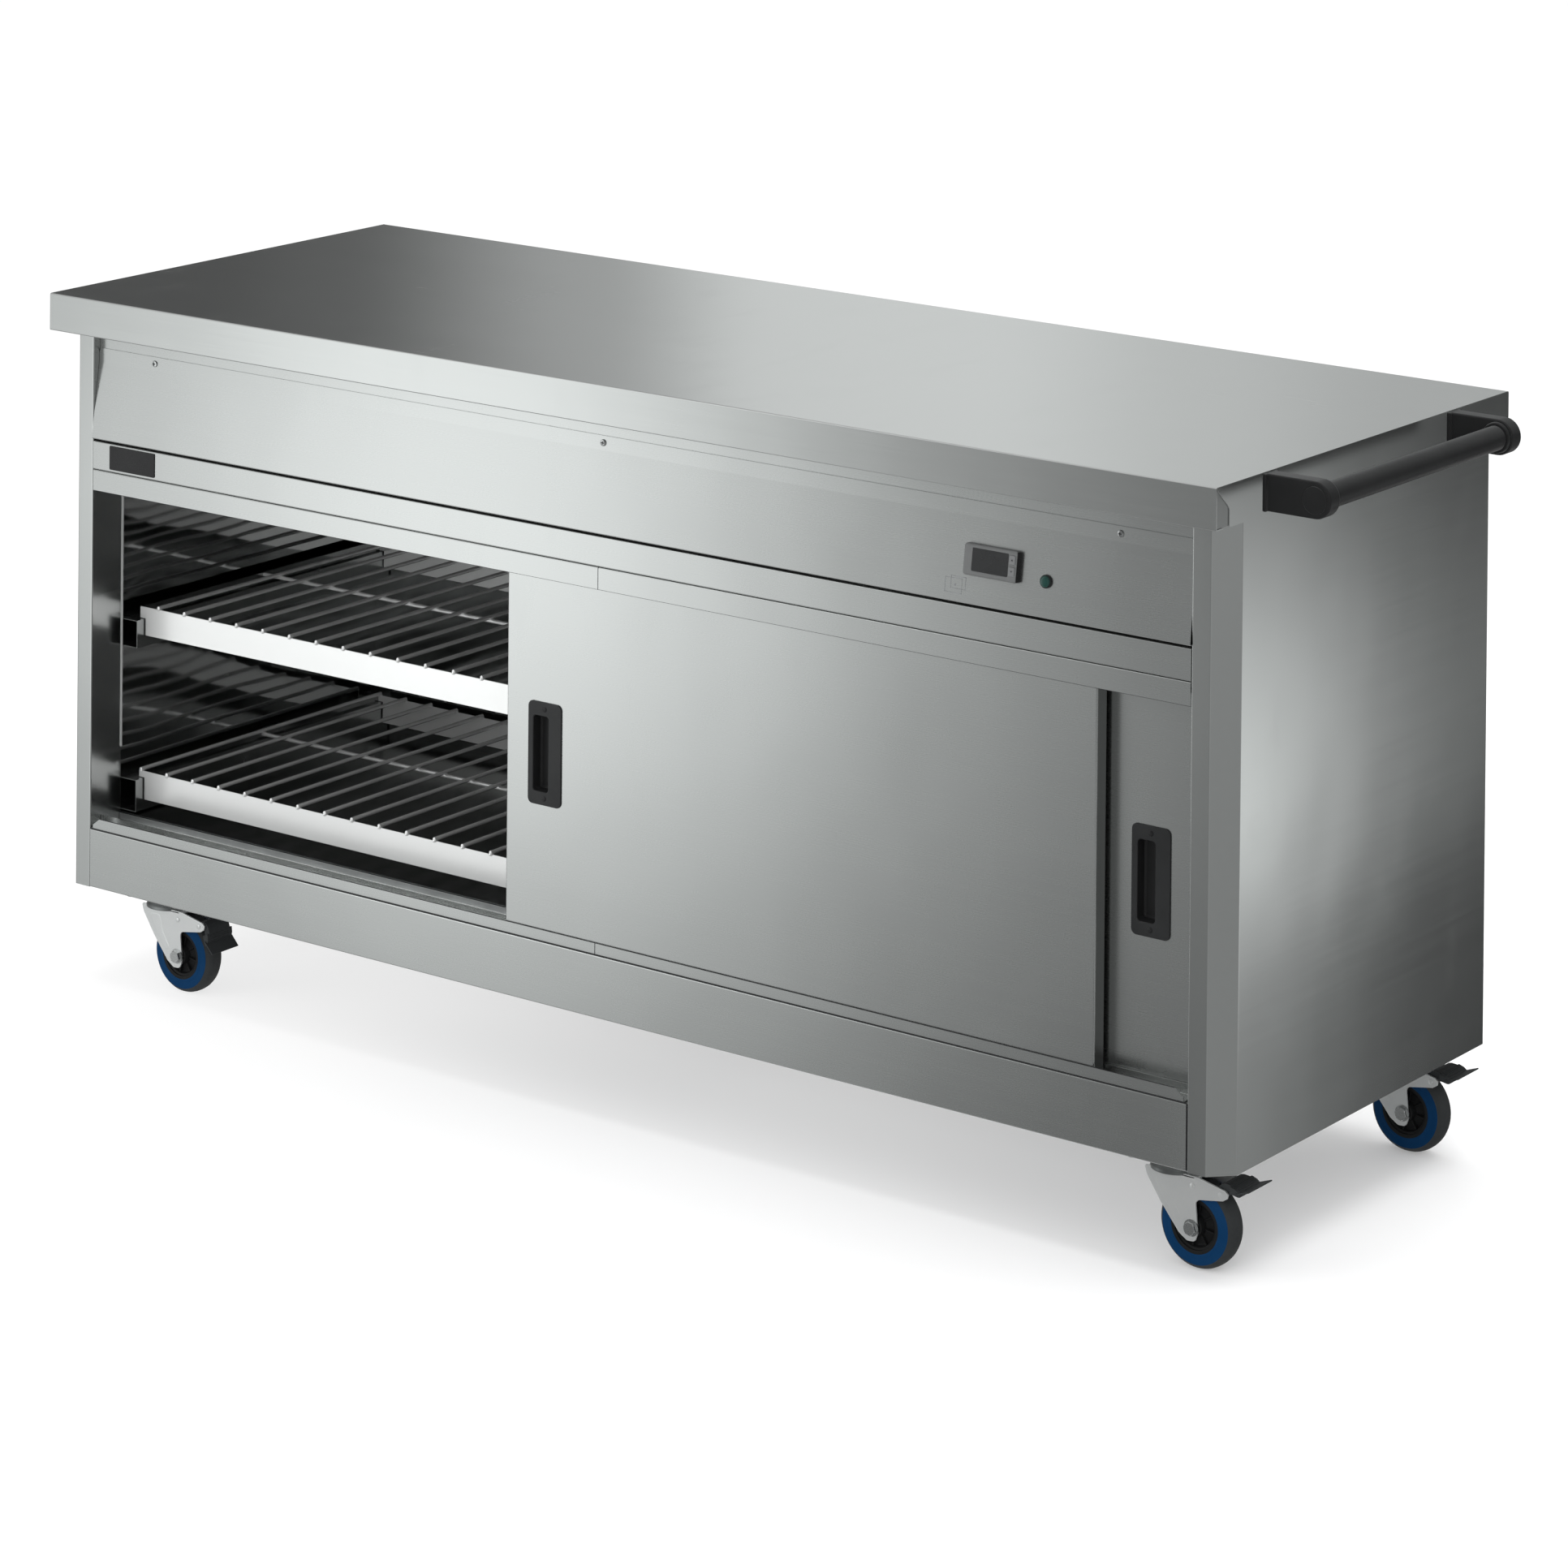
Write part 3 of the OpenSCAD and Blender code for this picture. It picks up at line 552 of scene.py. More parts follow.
p = Piece(FRONT)
for m in (0, 1):
    def X(x):
        return L - x if m else x
    a, b = sorted((X(55), X(899.4)))
    # front upstand with its chamfered end, then the rest of the fold
    p.sheet([(30.0, 206.5), (30, 201.2), (53.6, 201.2), (53.6, 213.5)], T, "x", a, b, 1.6)
    front = [(X(55), 206.5), (X(899.4), 206.5), (X(899.4), 215), (X(66), 215)]
    p.prism(front, "y", 30, 31.2)
# painted shade: dark strips for the shadowed middle joint and the lines along the sills' top and bottom edges
p.use(GAP_PAINTED_SHADE)
p.box((899.3, 30.1, 201.4), (900.7, 31.0, 214.8))
p.box((X0 + 17, 30.1, 214.9), (X1 - 17, 31.0, 215.6))
p.box((X0 + 0.4, 29.98, 200.3), (X1 - 0.4, 30.9, 201.5))
p.make("door_sill_sheets", "root", "brushed_steel", ["door_sills"])

# ---------------------------------------------------------------- doors
PW, PH, PZ = 52.0, 125.0, 366.0


def door(side, x, y, hx):
    p = Piece(DOOR)
    def ring(i, yy):
        return [(x + i, yy, 207 + i), (x + 867 - i, yy, 207 + i), (x + 867 - i, yy, 652 - i), (x + i, yy, 652 - i)]
    fs = p.rings([ring(T, y + T), ring(T, y + 18.6), ring(0, y + 18.6), ring(0, y)])
    p.bevel(fs, 1.8, 3, 25, lambda e: all(abs(v.co.y - y) < 1e-3 for v in e.verts))
    for co, no in (((hx + 4, 0, 0), (1, 0, 0)), ((hx + PW - 4, 0, 0), (1, 0, 0)), ((0, 0, PZ + 4), (0, 0, 1)), ((0, 0, PZ + PH - 4), (0, 0, 1))):
        bmesh.ops.bisect_plane(p.bm, geom=p.bm.verts[:] + p.bm.edges[:] + p.bm.faces[:], dist=1e-4, plane_co=co, plane_no=no)
    gone = []
    for f in p.bm.faces:
        c = f.calc_center_median()
        if hx + 4 < c.x < hx + PW - 4 and PZ + 4 < c.z < PZ + PH - 4 and c.y < y + 2:
            gone.append(f)
    bmesh.ops.delete(p.bm, geom=gone, context="FACES")
    # the end faces take the darker steel: painted shade along the door edges
    p.use(DOOR_EDGE_PAINTED_SHADE)
    p.bm.normal_update()
    for f in p.bm.faces:
        c = f.calc_center_median()
        if abs(f.normal.x) > 0.97 and (c.x < x + 0.5 or c.x > x + 866.5):
            f.material_index = len(p.mats) - 1
    p.make("door_%s_pan" % side, "door_" + side, "brushed_steel", ["door_%s_skin" % side])

    # recessed pull: a rounded plate, a slot, and a pocket that widens behind it
    p = Piece(BLACK)
    def rr(x0, z0, x1, z1, r, yy):
        return [(hx + u, y + yy, PZ + w) for u, w in rrect(x0, z0, x1, z1, r, 5)]
    p.rings([rr(0, 0, PW, PH, 7, -0.05), rr(0, 0, PW, PH, 7, -1.1), rr(0.25, 0.25, PW - 0.25, PH - 0.25, 6.8, -1.55), rr(0.9, 0.9, PW - 0.9, PH - 0.9, 6.2, -1.8),
             rr(7.2, 15.2, 32.8, PH - 16.2, 4.4, -1.8), rr(7.6, 15.6, 32.4, PH - 16.6, 4.2, -1.65), rr(8.1, 16.1, 31.9, PH - 17.1, 4, -1.0)], cap0=False, cap1=False)
    p.use(CUP)
    p.rings([rr(8.1, 16.1, 31.9, PH - 17.1, 4, -1.0), rr(8.3, 16.3, 31.9, PH - 17.3, 4, 4.0), rr(8.3, 16.3, 43, PH - 17.3, 4, 4.2), rr(8.8, 17, 43, PH - 18, 4, 11.5), rr(11, 20, 41, PH - 21, 4, 13.5)], cap0=False, cap1=True)
    p.use(BLACK)
    p.rings([rr(4.3, 4.3, PW - 4.3, PH - 4.3, 2, 0.0), rr(4.3, 4.3, PW - 4.3, PH - 4.3, 2, 15.8)], cap0=False, cap1=True)
    for zz in (8.4, PH - 8.4):
        cx, cz = hx + PW / 2, PZ + zz
        p.use(BADGE)
        p.lathe([(3.4, -1.6), (3.3, -2.0), (2.6, -2.35), (1.2, -2.5), (0, -2.5)], "y", (cx, y, cz), 24)
        # painted shade: a dark cross in each screw cap's recess
        p.use(GAP_PAINTED_SHADE)
        p.box((cx - 1.7, y - 2.56, cz - 0.42), (cx + 1.7, y - 2.3, cz + 0.42))
        p.box((cx - 0.42, y - 2.56, cz - 1.7), (cx + 0.42, y - 2.3, cz + 1.7))
    p.make("door_%s_cup" % side, "door_" + side, "black_plastic", ["door_%s_pull" % side])


door("left", 757, 31.8, 792)
door("right", 883, 55.6, 1657)

# ---------------------------------------------------------------- racks
def rack(name, z, foot, first, node):
    p = Piece(RACK)
    last = L - 72
    for y in (100, 560):
        # rail with its feet stepped over the side supports
        p.prism([(68, z), (68, foot + 0.6), (77.5, foot + 0.6), (77.5, z - 37), (L - 77.5, z - 37), (L - 77.5, foot + 0.6), (L - 68, foot + 0.6), (L - 68, z)], "y", y, y + 2, 0.35, 1)
    # the rack's end bars take the darkened liner steel instead of their plating: painted shade and dark reflection
    p.use(LINER_PAINTED_SHADE)
    for x in (68, L - 70):
        p.box((x, 101.9, foot + 0.2), (x + 2, 560.1, z - 0.1), 0.3, 1)
    p.use(RACK_ROD)
    p.tube([(70, 331, z - 3.2), (L - 70, 331, z - 3.2)], 2.75, 12, False)
    x = first
    while x <= last + 0.01:
        p.tube([(x, 100, z + 1.9), (x, 562, z + 1.9)], 2.75, 12)
        # weld beads where the rod crosses the rails
        for yy in (101, 561):
            p.lathe([(2.9, -1.6), (3.6, -0.2), (3.0, 1.2)], "z", (x, yy, z + 0.2), 10)
        x += 46.3
    p.make(name, node, "rack_wire", [node])


rack("rack_upper_wire", 478.6, 463, 101, "shelf_upper")
rack("rack_lower_wire", 264, 255, 71.7, "shelf_lower")

# ---------------------------------------------------------------- controls
PAN_LEAN = math.atan2(39.9 - 27, 806 - 708)


def on_panel(x, z):
    y = 39.9 - (806 - z) * (39.9 - 27) / (806 - 708)
    return Matrix.Translation((x, y, z)) @ Matrix.Rotation(-PAN_LEAN, 4, "X")


CTX = 1478.5
p = Piece(BEZEL).at(on_panel(CTX, 759))


def prr(x0, z0, x1, z1, r, yy, seg=5):
    return [(u, yy, w) for u, w in rrect(x0, z0, x1, z1, r, seg)]


p.rings([prr(-37.5, -18, 37.5, 18, 3.4, -0.1), prr(-37.5, -18, 37.5, 18, 3.4, -4.8), prr(-37.1, -17.6, 37.1, 17.6, 3.2, -5.9), prr(-36, -16.5, 36, 16.5, 2.6, -6.7), prr(-34.8, -15.3, 34.8, 15.3, 2.2, -6.9),
         prr(-26.1, -13.1, 25.6, 14.4, 1.6, -6.9), prr(-25.5, -12.5, 25, 13.8, 1.4, -6.5)], cap0=False, cap1=False)
p.rings([prr(-35, -12.4, 35, 12.4, 1, 0), prr(-35, -12.4, 35, 12.4, 1, 45)], cap0=False)
p.use(WINDOW)
p.rings([prr(-25.5, -12.5, 25, 13.8, 1.4, -6.5), prr(-24.9, -11.9, 24.4, 13.2, 1.2, -6.1)], cap0=False, cap1=True)
p.use(BADGE)
# dark end cap of the case
p.rings([prr(36.4, -17.0, 37.6, 17.0, 0.5, -0.2), prr(36.4, -17.0, 37.62, 17.0, 0.5, -5.6), prr(36.5, -16.8, 37.4, 16.8, 0.4, -6.3), prr(36.6, -16.6, 37.1, 16.6, 0.2, -6.6)], cap0=False, cap1=True)
p.make("controller_bezel", "root", "black_plastic", ["controller_case"])
for nm, z in (("key_up", 2), ("key_down", -11)):
    p = Piece(KEY).at(on_panel(CTX, 759))
    p.rings([prr(26.3, z + 0.3, 34.7, z + 10.7, 1.3, -3), prr(26.3, z + 0.3, 34.7, z + 10.7, 1.3, -7.3), prr(26.7, z + 0.7, 34.3, z + 10.3, 1.1, -7.8), prr(27.6, z + 1.6, 33.4, z + 9.4, 1, -7.9)], cap0=True)
    s = 1 if nm == "key_up" else -1
    p.use(BADGE)
    c = z + 5.5
    p.prism([(29.2, c - 1.0 * s), (31.8, c - 1.0 * s), (30.5, c + 1.1 * s)], "y", -7.98, -7.85)
    p.make(nm + "_cap", nm, "key_grey", [nm])

p = Piece(BLACK).at(on_panel(1552.8, 749))
p.lathe([(7.6, -0.1), (7.6, -2.2), (7.2, -2.9), (6.8, -3.0), (6.6, -2.6)], "y", (0, 0, 0), 36)
p.use(LAMP)
p.lathe([(6.6, -2.4), (6.5, -3.4), (5.8, -4.5), (4.4, -5.2), (2.4, -5.5), (0, -5.55)], "y", (0, 0, 0), 36)
p.use(BLACK)
p.lathe([(6, -0.5), (6, 25.5)], "y", (0, 0, 0), 24)
p.make("pilot_lens", "root", "lamp_green", ["pilot_lamp"])

# faint etched outline squares beside the controller, and a blank badge
p = Piece(ETCH).at(on_panel(1428.3, 727.3))
def frame_sq(x0, z0, x1, z1, w=0.55):
    for a in ((x0, z0, x1, z0 + w), (x0, z1 - w, x1, z1), (x0, z0, x0 + w, z1), (x1 - w, z0, x1, z1)):
        p.box((a[0], -0.12, a[1]), (a[2], 0.0, a[3]))
frame_sq(-14.5, -9.5, 9.5, 7.5)
frame_sq(-6.5, -4.5, 14.5, 9.8)
p.box((-1.2, -0.12, -1.2), (1.2, 0, 1.2))
p.make("etched_squares", "root", "black_plastic")

p = Piece(BADGE)
p.rings([[(u, yy, w) for u, w in rrect(80.5 + i, 671.6 + i, 161 - i, 702.4 - i, 1.6, 4)] for i, yy in ((0, 30.0), (0, 29.2), (0.35, 28.9), (0.8, 28.85))])
p.make("blank_badge", "root", "black_plastic")

# bright strip at the front of the liner's left end: a painted highlight where the edge's bend catches the light
p = Piece(RACK)
p.box((50.1, 83.7, 296), (51.5, 85.2, 646), 0, 1)
p.make("liner_edge_painted_highlight", "root", "brushed_steel")

# ---------------------------------------------------------------- push handle
HX, HZ = 1866.0, 873.0
p = Piece(HANDLE)
for y0 in (97, 499):
    out = [(1800.2, 852)] + [(HX, 852)] + [(HX + 21 * math.cos(rad(a)), HZ + 21 * math.sin(rad(a))) for a in range(-80, 81, 10)] + [(HX, 894), (1800.2, 894)]
    p.prism(out, "y", y0, y0 + 21, 2.2, 3, 40)
    p.box((1800.1, y0 - 4, 852), (1805.4, y0 + 25, 894), 1.6, 3)
    # end cap boss round the tube, and the cap seam
    s = -1 if y0 == 97 else 1
    yo = y0 if y0 == 97 else y0 + 21
    p.lathe([(15.5, yo - s * 0.5), (15.5, yo + s * 0.7), (14.9, yo + s * 1.2), (10, yo + s * 1.5), (0, yo + s * 1.6)], "y", (HX, 0, HZ), 40)
    yi = y0 + 21 if y0 == 97 else y0
    p.lathe([(18.2, yi), (18.0, yi - s * 3.2), (17.2, yi - s * 4.4), (14.6, yi - s * 4.8)], "y", (HX, 0, HZ), 40)
p.use(SCREW)
for y0 in (107.5, 509.5):
    for z in (858, 888):
        p.lathe([(3.2, 1805.3), (3.1, 1806.3), (2.2, 1807.0), (0, 1807.2)], "x", (0, y0, z), 20)
p.make("push_handle_ends", "root", "black_plastic", ["handle_brackets"]).visible_glossy = False
p = Piece(HANDLE)
p.lathe([(14.5, 105), (14.5, 512)], "y", (HX, 0, HZ), 48)
p.make("push_handle_bar", "root", "black_plastic", ["handle_tube"])

# ---------------------------------------------------------------- fasteners
p = Piece(SCREW)
for x in (150.5, 898.4, 1648.1):
    p.use(SCREW)
    p.lathe([(4.2, 39.8), (4.15, 39.0), (3.6, 38.2), (2.4, 37.75), (0, 37.7)], "y", (x, 0, 815.5), 32)
    p.lathe([(2, 39), (2, 51)], "y", (x, 0, 815.5), 12)
    # painted shade: a dark cross in each screw head's recess
    p.use(GAP_PAINTED_SHADE)
    p.box((x - 2.3, 37.6, 815.5 - 0.6), (x + 2.3, 38.6, 815.5 + 0.6))
    p.box((x - 0.6, 37.6, 815.5 - 2.3), (x + 0.6, 38.6, 815.5 + 2.3))
p.use(SCREW)
for x in (9, 1791):
    for z in (200, 500, 800):
        p.lathe([(2, 585), (2, 595.5)], "y", (x, 0, z), 12)
for y in (107.5, 509.5):
    for z in (858, 888):
        p.lathe([(2, 1790), (2, 1806)], "x", (0, y, z), 12)
p.make("panel_screw_set", "root", "screw_steel", ["panel_screws"])

# ---------------------------------------------------------------- castors
CAST = {"fl": (141, 86), "fr": (1702, 86), "bl": (141, 542), "br": (1702, 542)}
TRAIL, R, PV = 33.0, 50.0, (71.0, 95.0)

p = Piece(ZINC)
for cx, cy in CAST.values():
    p.at(Matrix.Translation((cx, cy, 0)))
    fs = p.rings([[(u, w, 121.9) for u, w in rrect(-52, -42, 52, 42, 6)], [(u, w, 124.9) for u, w in rrect(-52, -42, 52, 42, 6)]])
    p.bevel(fs, 0.5, 2, 60)
    # domed race and kingpin nut
    p.lathe([(0, 114.9), (24, 114.9), (27.6, 115.4), (29, 117), (29, 119.5), (27.2, 121.9), (0, 121.9)], "z", (0, 0, 0), 48)
    p.lathe([(6, 104), (6, 115)], "z", (0, 0, 0), 20)
    p.hexagon((0, 0, 0), "z", 10, 104.4, 100.6)
p.make("castor_plate_set", "root", "zinc_plate", ["castor_plates"])

p = Piece(SCREW)
for cx, cy in CAST.values():
    for i in (-40, 40):
        for j in (-30, 30):
            p.at(Matrix.Translation((cx + i, cy + j, 0)))
            p.hexagon((0, 0, 0), "z", 7.4, 121.8, 116.7, 0.8, 0.4)
            p.lathe([(4, 121), (4, 134)], "z", (0, 0, 0), 16)
            p.hexagon((0, 0, 0), "z", 7.4, 126.7, 133)
p.make("castor_bolt_set", "root", "zinc_plate", ["castor_bolts"])

LEG = [(-30.5, 107.5), (-27, 97), (-8, 70), (16, 41.5), (27, 34.4), (38, 35.0), (41.5, 45), (38, 82), (74, 88.2), (80, 92), (81, 97), (77, 100.6), (42, 107.5)]
LEGR = [2, 10, 30, 8, 7, 6, 8, 6, 2.5, 1.5, 1.5, 3, 6]


def castor(tag, tilt):
    cx, cy = CAST[tag]
    M = Matrix.Translation((cx, cy, 0))
    # fork: two pressed legs, a crown plate and the domed swivel housing
    p = Piece(ZINC).at(M)
    leg = [tuple(q) for q, _ in rounded(LEG, LEGR, 4, True)]
    for y0 in (-22, 19.5):
        p.prism(leg, "y", y0, y0 + 2.5, 0.7, 2, 50)
        # raised stiffening rib pressed into the outer face
        yo, s = (-22, -1) if y0 < 0 else (22, 1)
        rib = [tuple(q) for q, _ in rounded([(-20, 100), (-3, 74), (15, 53), (23, 56), (8, 78), (2, 100)], 4, 3, True)]
        small = [(lerp(u, 1, 0.22), lerp(w, 78, 0.16)) for u, w in rib]
        p.rings([[(u, yo - s * 0.3, w) for u, w in rib], [(u, yo + s * 0.45, w) for u, w in small]], cap0=False)
        # pedal ears and rivets
        p.lathe([(3.1, yo - s * 0.2), (3.0, yo + s * 0.5), (2.2, yo + s * 0.9), (0, yo + s * 0.95)], "y", (PV[0], 0, PV[1]), 20)
        p.lathe([(3.2, yo - s * 0.2), (3.0, yo + s * 0.8), (1.8, yo + s * 1.3), (0, yo + s * 1.4)], "y", (TRAIL + 1, 0, 97), 20)
        # axle bolt head or nut over a washer
        p.use(SCREW)
        p.lathe([(0, yo - s * 0.1), (9.6, yo - s * 0.1), (9.6, yo + s * 0.8), (0, yo + s * 0.8)], "y", (TRAIL, 0, R), 28)
        p.hexagon((TRAIL, 0, R), "y", 8.2, yo + s * 0.6, yo + s * 5.4, 0.9, 0.3)
        p.use(ZINC)
        if s > 0:
            p.lathe([(4.6, yo + 5), (4.6, yo + 5.8), (0, yo + 5.9)], "y", (TRAIL, 0, R), 16)
    crown = [(-26, -22), (41, -22), (41, 22), (-26, 22)]
    p.prism([tuple(q) for q, _ in rounded(crown, 5, 4, True)], "z", 105, 107.8, 0.6, 2, 50)
    p.use(ZINC_DARK)
    p.lathe([(0, 106), (31, 106), (31, 107.6), (30.2, 110.5), (27, 113.6), (23.5, 114.7), (15, 114.8), (0, 114.8)], "z", (0, 0, 0), 56)
    p.use(ZINC)
    p.lathe([(5, -20.5), (5, 20.5)], "y", (TRAIL, 0, R), 20)
    p.make("castor_%s_frame" % tag, "castor_%s_swivel" % tag, "zinc_plate", ["castor_%s_fork" % tag])

    A = Matrix.Translation((cx + TRAIL, cy, R))
    p = Piece(HUB).at(A)
    p.lathe([(5.1, -18.5), (10, -18.5), (11, -17.8), (12.4, -9.6), (14, -8.4), (21.6, -7.2), (23.2, -8), (24.6, -12.6), (26.9, -13.6),
             (26.9, 13.6), (24.6, 12.6), (23.2, 8), (21.6, 7.2), (14, 8.4), (12.4, 9.6), (11, 17.8), (10, 18.5), (5.1, 18.5)], "y", (0, 0, 0), 56, loop=True)
    for k in range(8):
        q = A @ Matrix.Rotation(rad(45 * k + 12), 4, "Y")
        p.at(q)
        for s in (-1, 1):
            p.box((11.5, min(s * 7, s * 11.6), -0.9), (24, max(s * 7, s * 11.6), 0.9), 0.4, 1)
    p.make("castor_%s_wheel_centre" % tag, "castor_%s_wheel" % tag, "hub_black", ["castor_%s_hub" % tag])

    p = Piece(BLUE).at(A)
    def tyre(side):
        return [(31.2, side * 15.6), (32.2, side * 16.0), (34.5, side * 15.6), (36.2, side * 15.0), (37.2, side * 15.2), (41.5, side * 14.9), (43.6, side * 14.3)]
    for s in (-1, 1):
        p.lathe(tyre(s), "y", (0, 0, 0), 72, ring=True)
    p.use(RUBBER)
    for s in (-1, 1):
        p.lathe([(27.0, s * 15.0), (28.2, s * 15.8), (30.4, s * 15.8), (31.2, s * 15.6)], "y", (0, 0, 0), 72)
    p.use(TREAD)
    rim = [(43.6, -14.3), (44.4, -13.2), (46.2, -11.9), (48.2, -9.4), (49.5, -6), (50, -2.2), (50, 2.2), (49.5, 6), (48.2, 9.4), (46.2, 11.9), (44.4, 13.2), (43.6, 14.3)]
    p.lathe(rim, "y", (0, 0, 0), 72)
    p.use(RUBBER)
    p.lathe([(27.0, -15.2), (27.0, 15.2)], "y", (0, 0, 0), 56)
    # the caps drawn on the open ends are dropped
    big = [f for f in p.bm.faces if len(f.verts) > 8]
    bmesh.ops.delete(p.bm, geom=big, context="FACES_ONLY")
    p.make("castor_%s_tread" % tag, "castor_%s_wheel" % tag, "tyre_blue", ["castor_%s_tyre" % tag], sharp=50)

    p = Piece(PEDAL).at(Matrix.Translation((cx + PV[0], cy, PV[1])) @ Matrix.Rotation(rad(tilt), 4, "Y"))
    p.lathe([(5.2, -18.8), (5.2, 18.8)], "y", (0, 0, 0), 28)
    hood = [tuple(q) for q, _ in rounded([(-5, 1), (-4, 8), (1, 12), (6, 12.8), (13.5, 12.2), (13.5, 3.5), (8, 4.2), (4, 1)], [1, 3, 3, 3, 0.5, 0.5, 1, 1], 3, True)]
    p.prism(hood, "y", -18.8, 18.8, 0.8, 2, 60)
    toe = [tuple(q) for q, _ in rounded([(12.5, 12.2), (20, 9.8), (26, 5.2), (26, 2.4), (23, 2), (17, 3), (12.5, 3.5)], [0.8, 3, 1.2, 1, 1, 1, 0.5], 3, True)]
    p.prism(toe, "y", -22.5, 22.5, 0.8, 2, 60)
    # tread ridges across the toe
    for i in range(5):
        t = 0.12 + i * 0.19
        u, w = lerp(13.2, 25.2, t), 0
        w = 12.1 - (u - 12.5) * 0.32 if u < 20 else 9.7 - (u - 20) * 0.77
        p.box((u - 0.5, -17, w - 0.8), (u + 0.5, 17, w + 0.55), 0.3, 1)
    p.prism([(20, 5.5), (38.2, 12.1), (39.0, 11.6), (38.9, 10.6), (20.5, 4)], "y", -24, 24, 0.4, 2, 40)
    p.use(ZINC)
    p.lathe([(3, -19.4), (3, 19.4)], "y", (0, 0, 0), 20)
    p.make("castor_%s_brake" % tag, "castor_%s_pedal" % tag, "pedal_black", ["castor_%s_pedal" % tag])


castor("fl", 66)
castor("fr", 0)
castor("bl", 0)
castor("br", 0)

# ---------------------------------------------------------------- mains lead
p = Piece(CABLE)
coil = []
turns, per = 3, 40
for i in range(turns * per + 1):
    a = rad(-90 + 360 * i / per)
    k = i / (turns * per)
    r = 84 + 3.0 * math.sin(2.2 * a)
    coil.append((1600 + r * math.cos(a), 611.5 + 9.0 * k, 675 + r * math.sin(a)))
p.tube(coil, 4.3, 10)
p.tube([(1600, 592, 170), (1600, 604, 170), (1600, 612, 176), (1600, 616, 190), (1601, 616, 300), (1600, 615, 420), (1599, 613, 540), (1600, 611.5, 591)], 4.3, 10)
p.tube([coil[-1], (1604, 620, 588), (1601, 616, 576), (1600, 615, 568)], 4.3, 10)
p.use(BLACK)
fs = p.rings([[(1600 + u, 615 + w, z) for u, w in rrect(-b, -c, b, c, 4)] for z, b, c in ((570, 9, 8), (566, 20, 12.5), (558, 25.5, 14.6), (524, 25.5, 14.6), (520.5, 24, 13.4))])
p.use(CABLE)
for a in (35, 150):
    c = (1600 + 84 * math.cos(rad(a)), 616, 675 + 84 * math.sin(rad(a)))
    q = Matrix.Translation(c) @ Matrix.Rotation(rad(-a), 4, "Y")
    p.at(q)
    p.rings([[(u, w, z) for u, w in rrect(-8.6, -8.0, 8.6, 8.0, 5)] for z in (-2, 2)])
p.at()
p.use(BLACK)
p.lathe([(8.4, 590), (8.4, 596), (13, 596.2), (13, 600), (9.5, 601), (9, 610), (7, 614), (4.5, 615)], "y", (1600, 0, 170), 28)
p.make("mains_lead_coil", "root", "cable_black", ["mains_lead"])

# ---------------------------------------------------------------- inner parts
p = Piece(SHEATH)
c = (900, 330)
p.tube([(c[0] + 84 * math.cos(rad(a)), c[1] + 84 * math.sin(rad(a)), 182) for a in range(0, 360, 6)], 4, 12, closed=True)
for y in (-14, 14):
    p.tube([(c[0] - 160, c[1] + y, 182), (c[0] - 84, c[1] + y, 182)], 4, 12)
p.use(GALV)
p.box((c[0] - 168, c[1] - 24, 170), (c[0] - 158, c[1] + 24, 194), 1)
p.make("heater_sheath_ring", "root", "heater_sheath", ["heater_element"])


def dress(node, material, bevel=0.0, seg=2):
    """Gives a CAD node its finish and softened edges."""
    o = NODES[node]
    me = o.data
    me.materials.clear()
    me.materials.append(material)
    for n in ("custom_normal",):
        if n in me.attributes:
            me.attributes.remove(me.attributes[n])
    me.polygons.foreach_set("use_smooth", [True] * len(me.polygons))
    w = o.modifiers.new("weld", "WELD")
    w.merge_threshold = 0.00001
    if bevel:
        b = o.modifiers.new("edges", "BEVEL")
        b.width = bevel / 1000
        b.segments = seg
        b.limit_method = "ANGLE"
        b.angle_limit = rad(40)
        b.harden_normals = False
    w = o.modifiers.new("normals", "WEIGHTED_NORMAL")
    w.keep_sharp = True
    me.set_sharp_from_angle(angle=rad(32))


dress("worktop_stiffeners", GALV, 0.3)
dress("back_panel", SIDE, 0.2)
dress("base_tray", GALV, 0.2)
dress("door_track_upper", TRACK, 0.2)
dress("door_track_lower", TRACK, 0.2)
dress("liner_back", LINER_PAINTED_SHADE, 0.1)
dress("liner_side_left", MIRROR, 0.1)
dress("liner_side_right", MIRROR, 0.1)
dress("liner_floor", LINER_FLOOR_PAINTED_SHADE, 0.1)
dress("liner_ceiling", LINER_PAINTED_SHADE, 0.1)
dress("insulation", WOOL, 2)
dress("shelf_supports", INNER_SIDE, 0.3)
dress("door_left_inner", INNER_SIDE, 0.2)
dress("door_right_inner", INNER_SIDE, 0.2)
dress("door_left_glides", NYLON, 0.5)
dress("door_right_glides", NYLON, 0.5)
dress("fan_motor", MOTOR, 0.8)
dress("fan_impeller", TRACK, 0.2)

# ---------------------------------------------------------------- studio
sc = bpy.context.scene


def stage_mesh(name, verts, faces, mat):
    me = bpy.data.meshes.new(name)
    me.from_pydata(verts, [], faces)
    me.materials.append(mat)
    o = bpy.data.objects.new(name, me)
    sc.collection.objects.link(o)
    return o


def ramp(t, src, lo, hi, stops):
    """Smooth curve through (place, value) stops, as a colour ramp on one coordinate."""
    mr = t.nodes.new("ShaderNodeMapRange")
    t.links.new(src, mr.inputs["Value"])
    mr.inputs["From Min"].default_value = lo
    mr.inputs["From Max"].default_value = hi
    rp = t.nodes.new("ShaderNodeValToRGB")
    t.links.new(mr.outputs["Result"], rp.inputs[0])
    el = rp.color_ramp.elements
    while len(el) > 1:
        el.remove(el[0])
    rp.color_ramp.interpolation = "EASE"
    for i, (pos, val) in enumerate(stops):
        e = el[0] if i == 0 else el.new((pos - lo) / (hi - lo))
        e.position = (pos - lo) / (hi - lo)
        e.color = (val, val, val, 1)
    return rp.outputs[0]


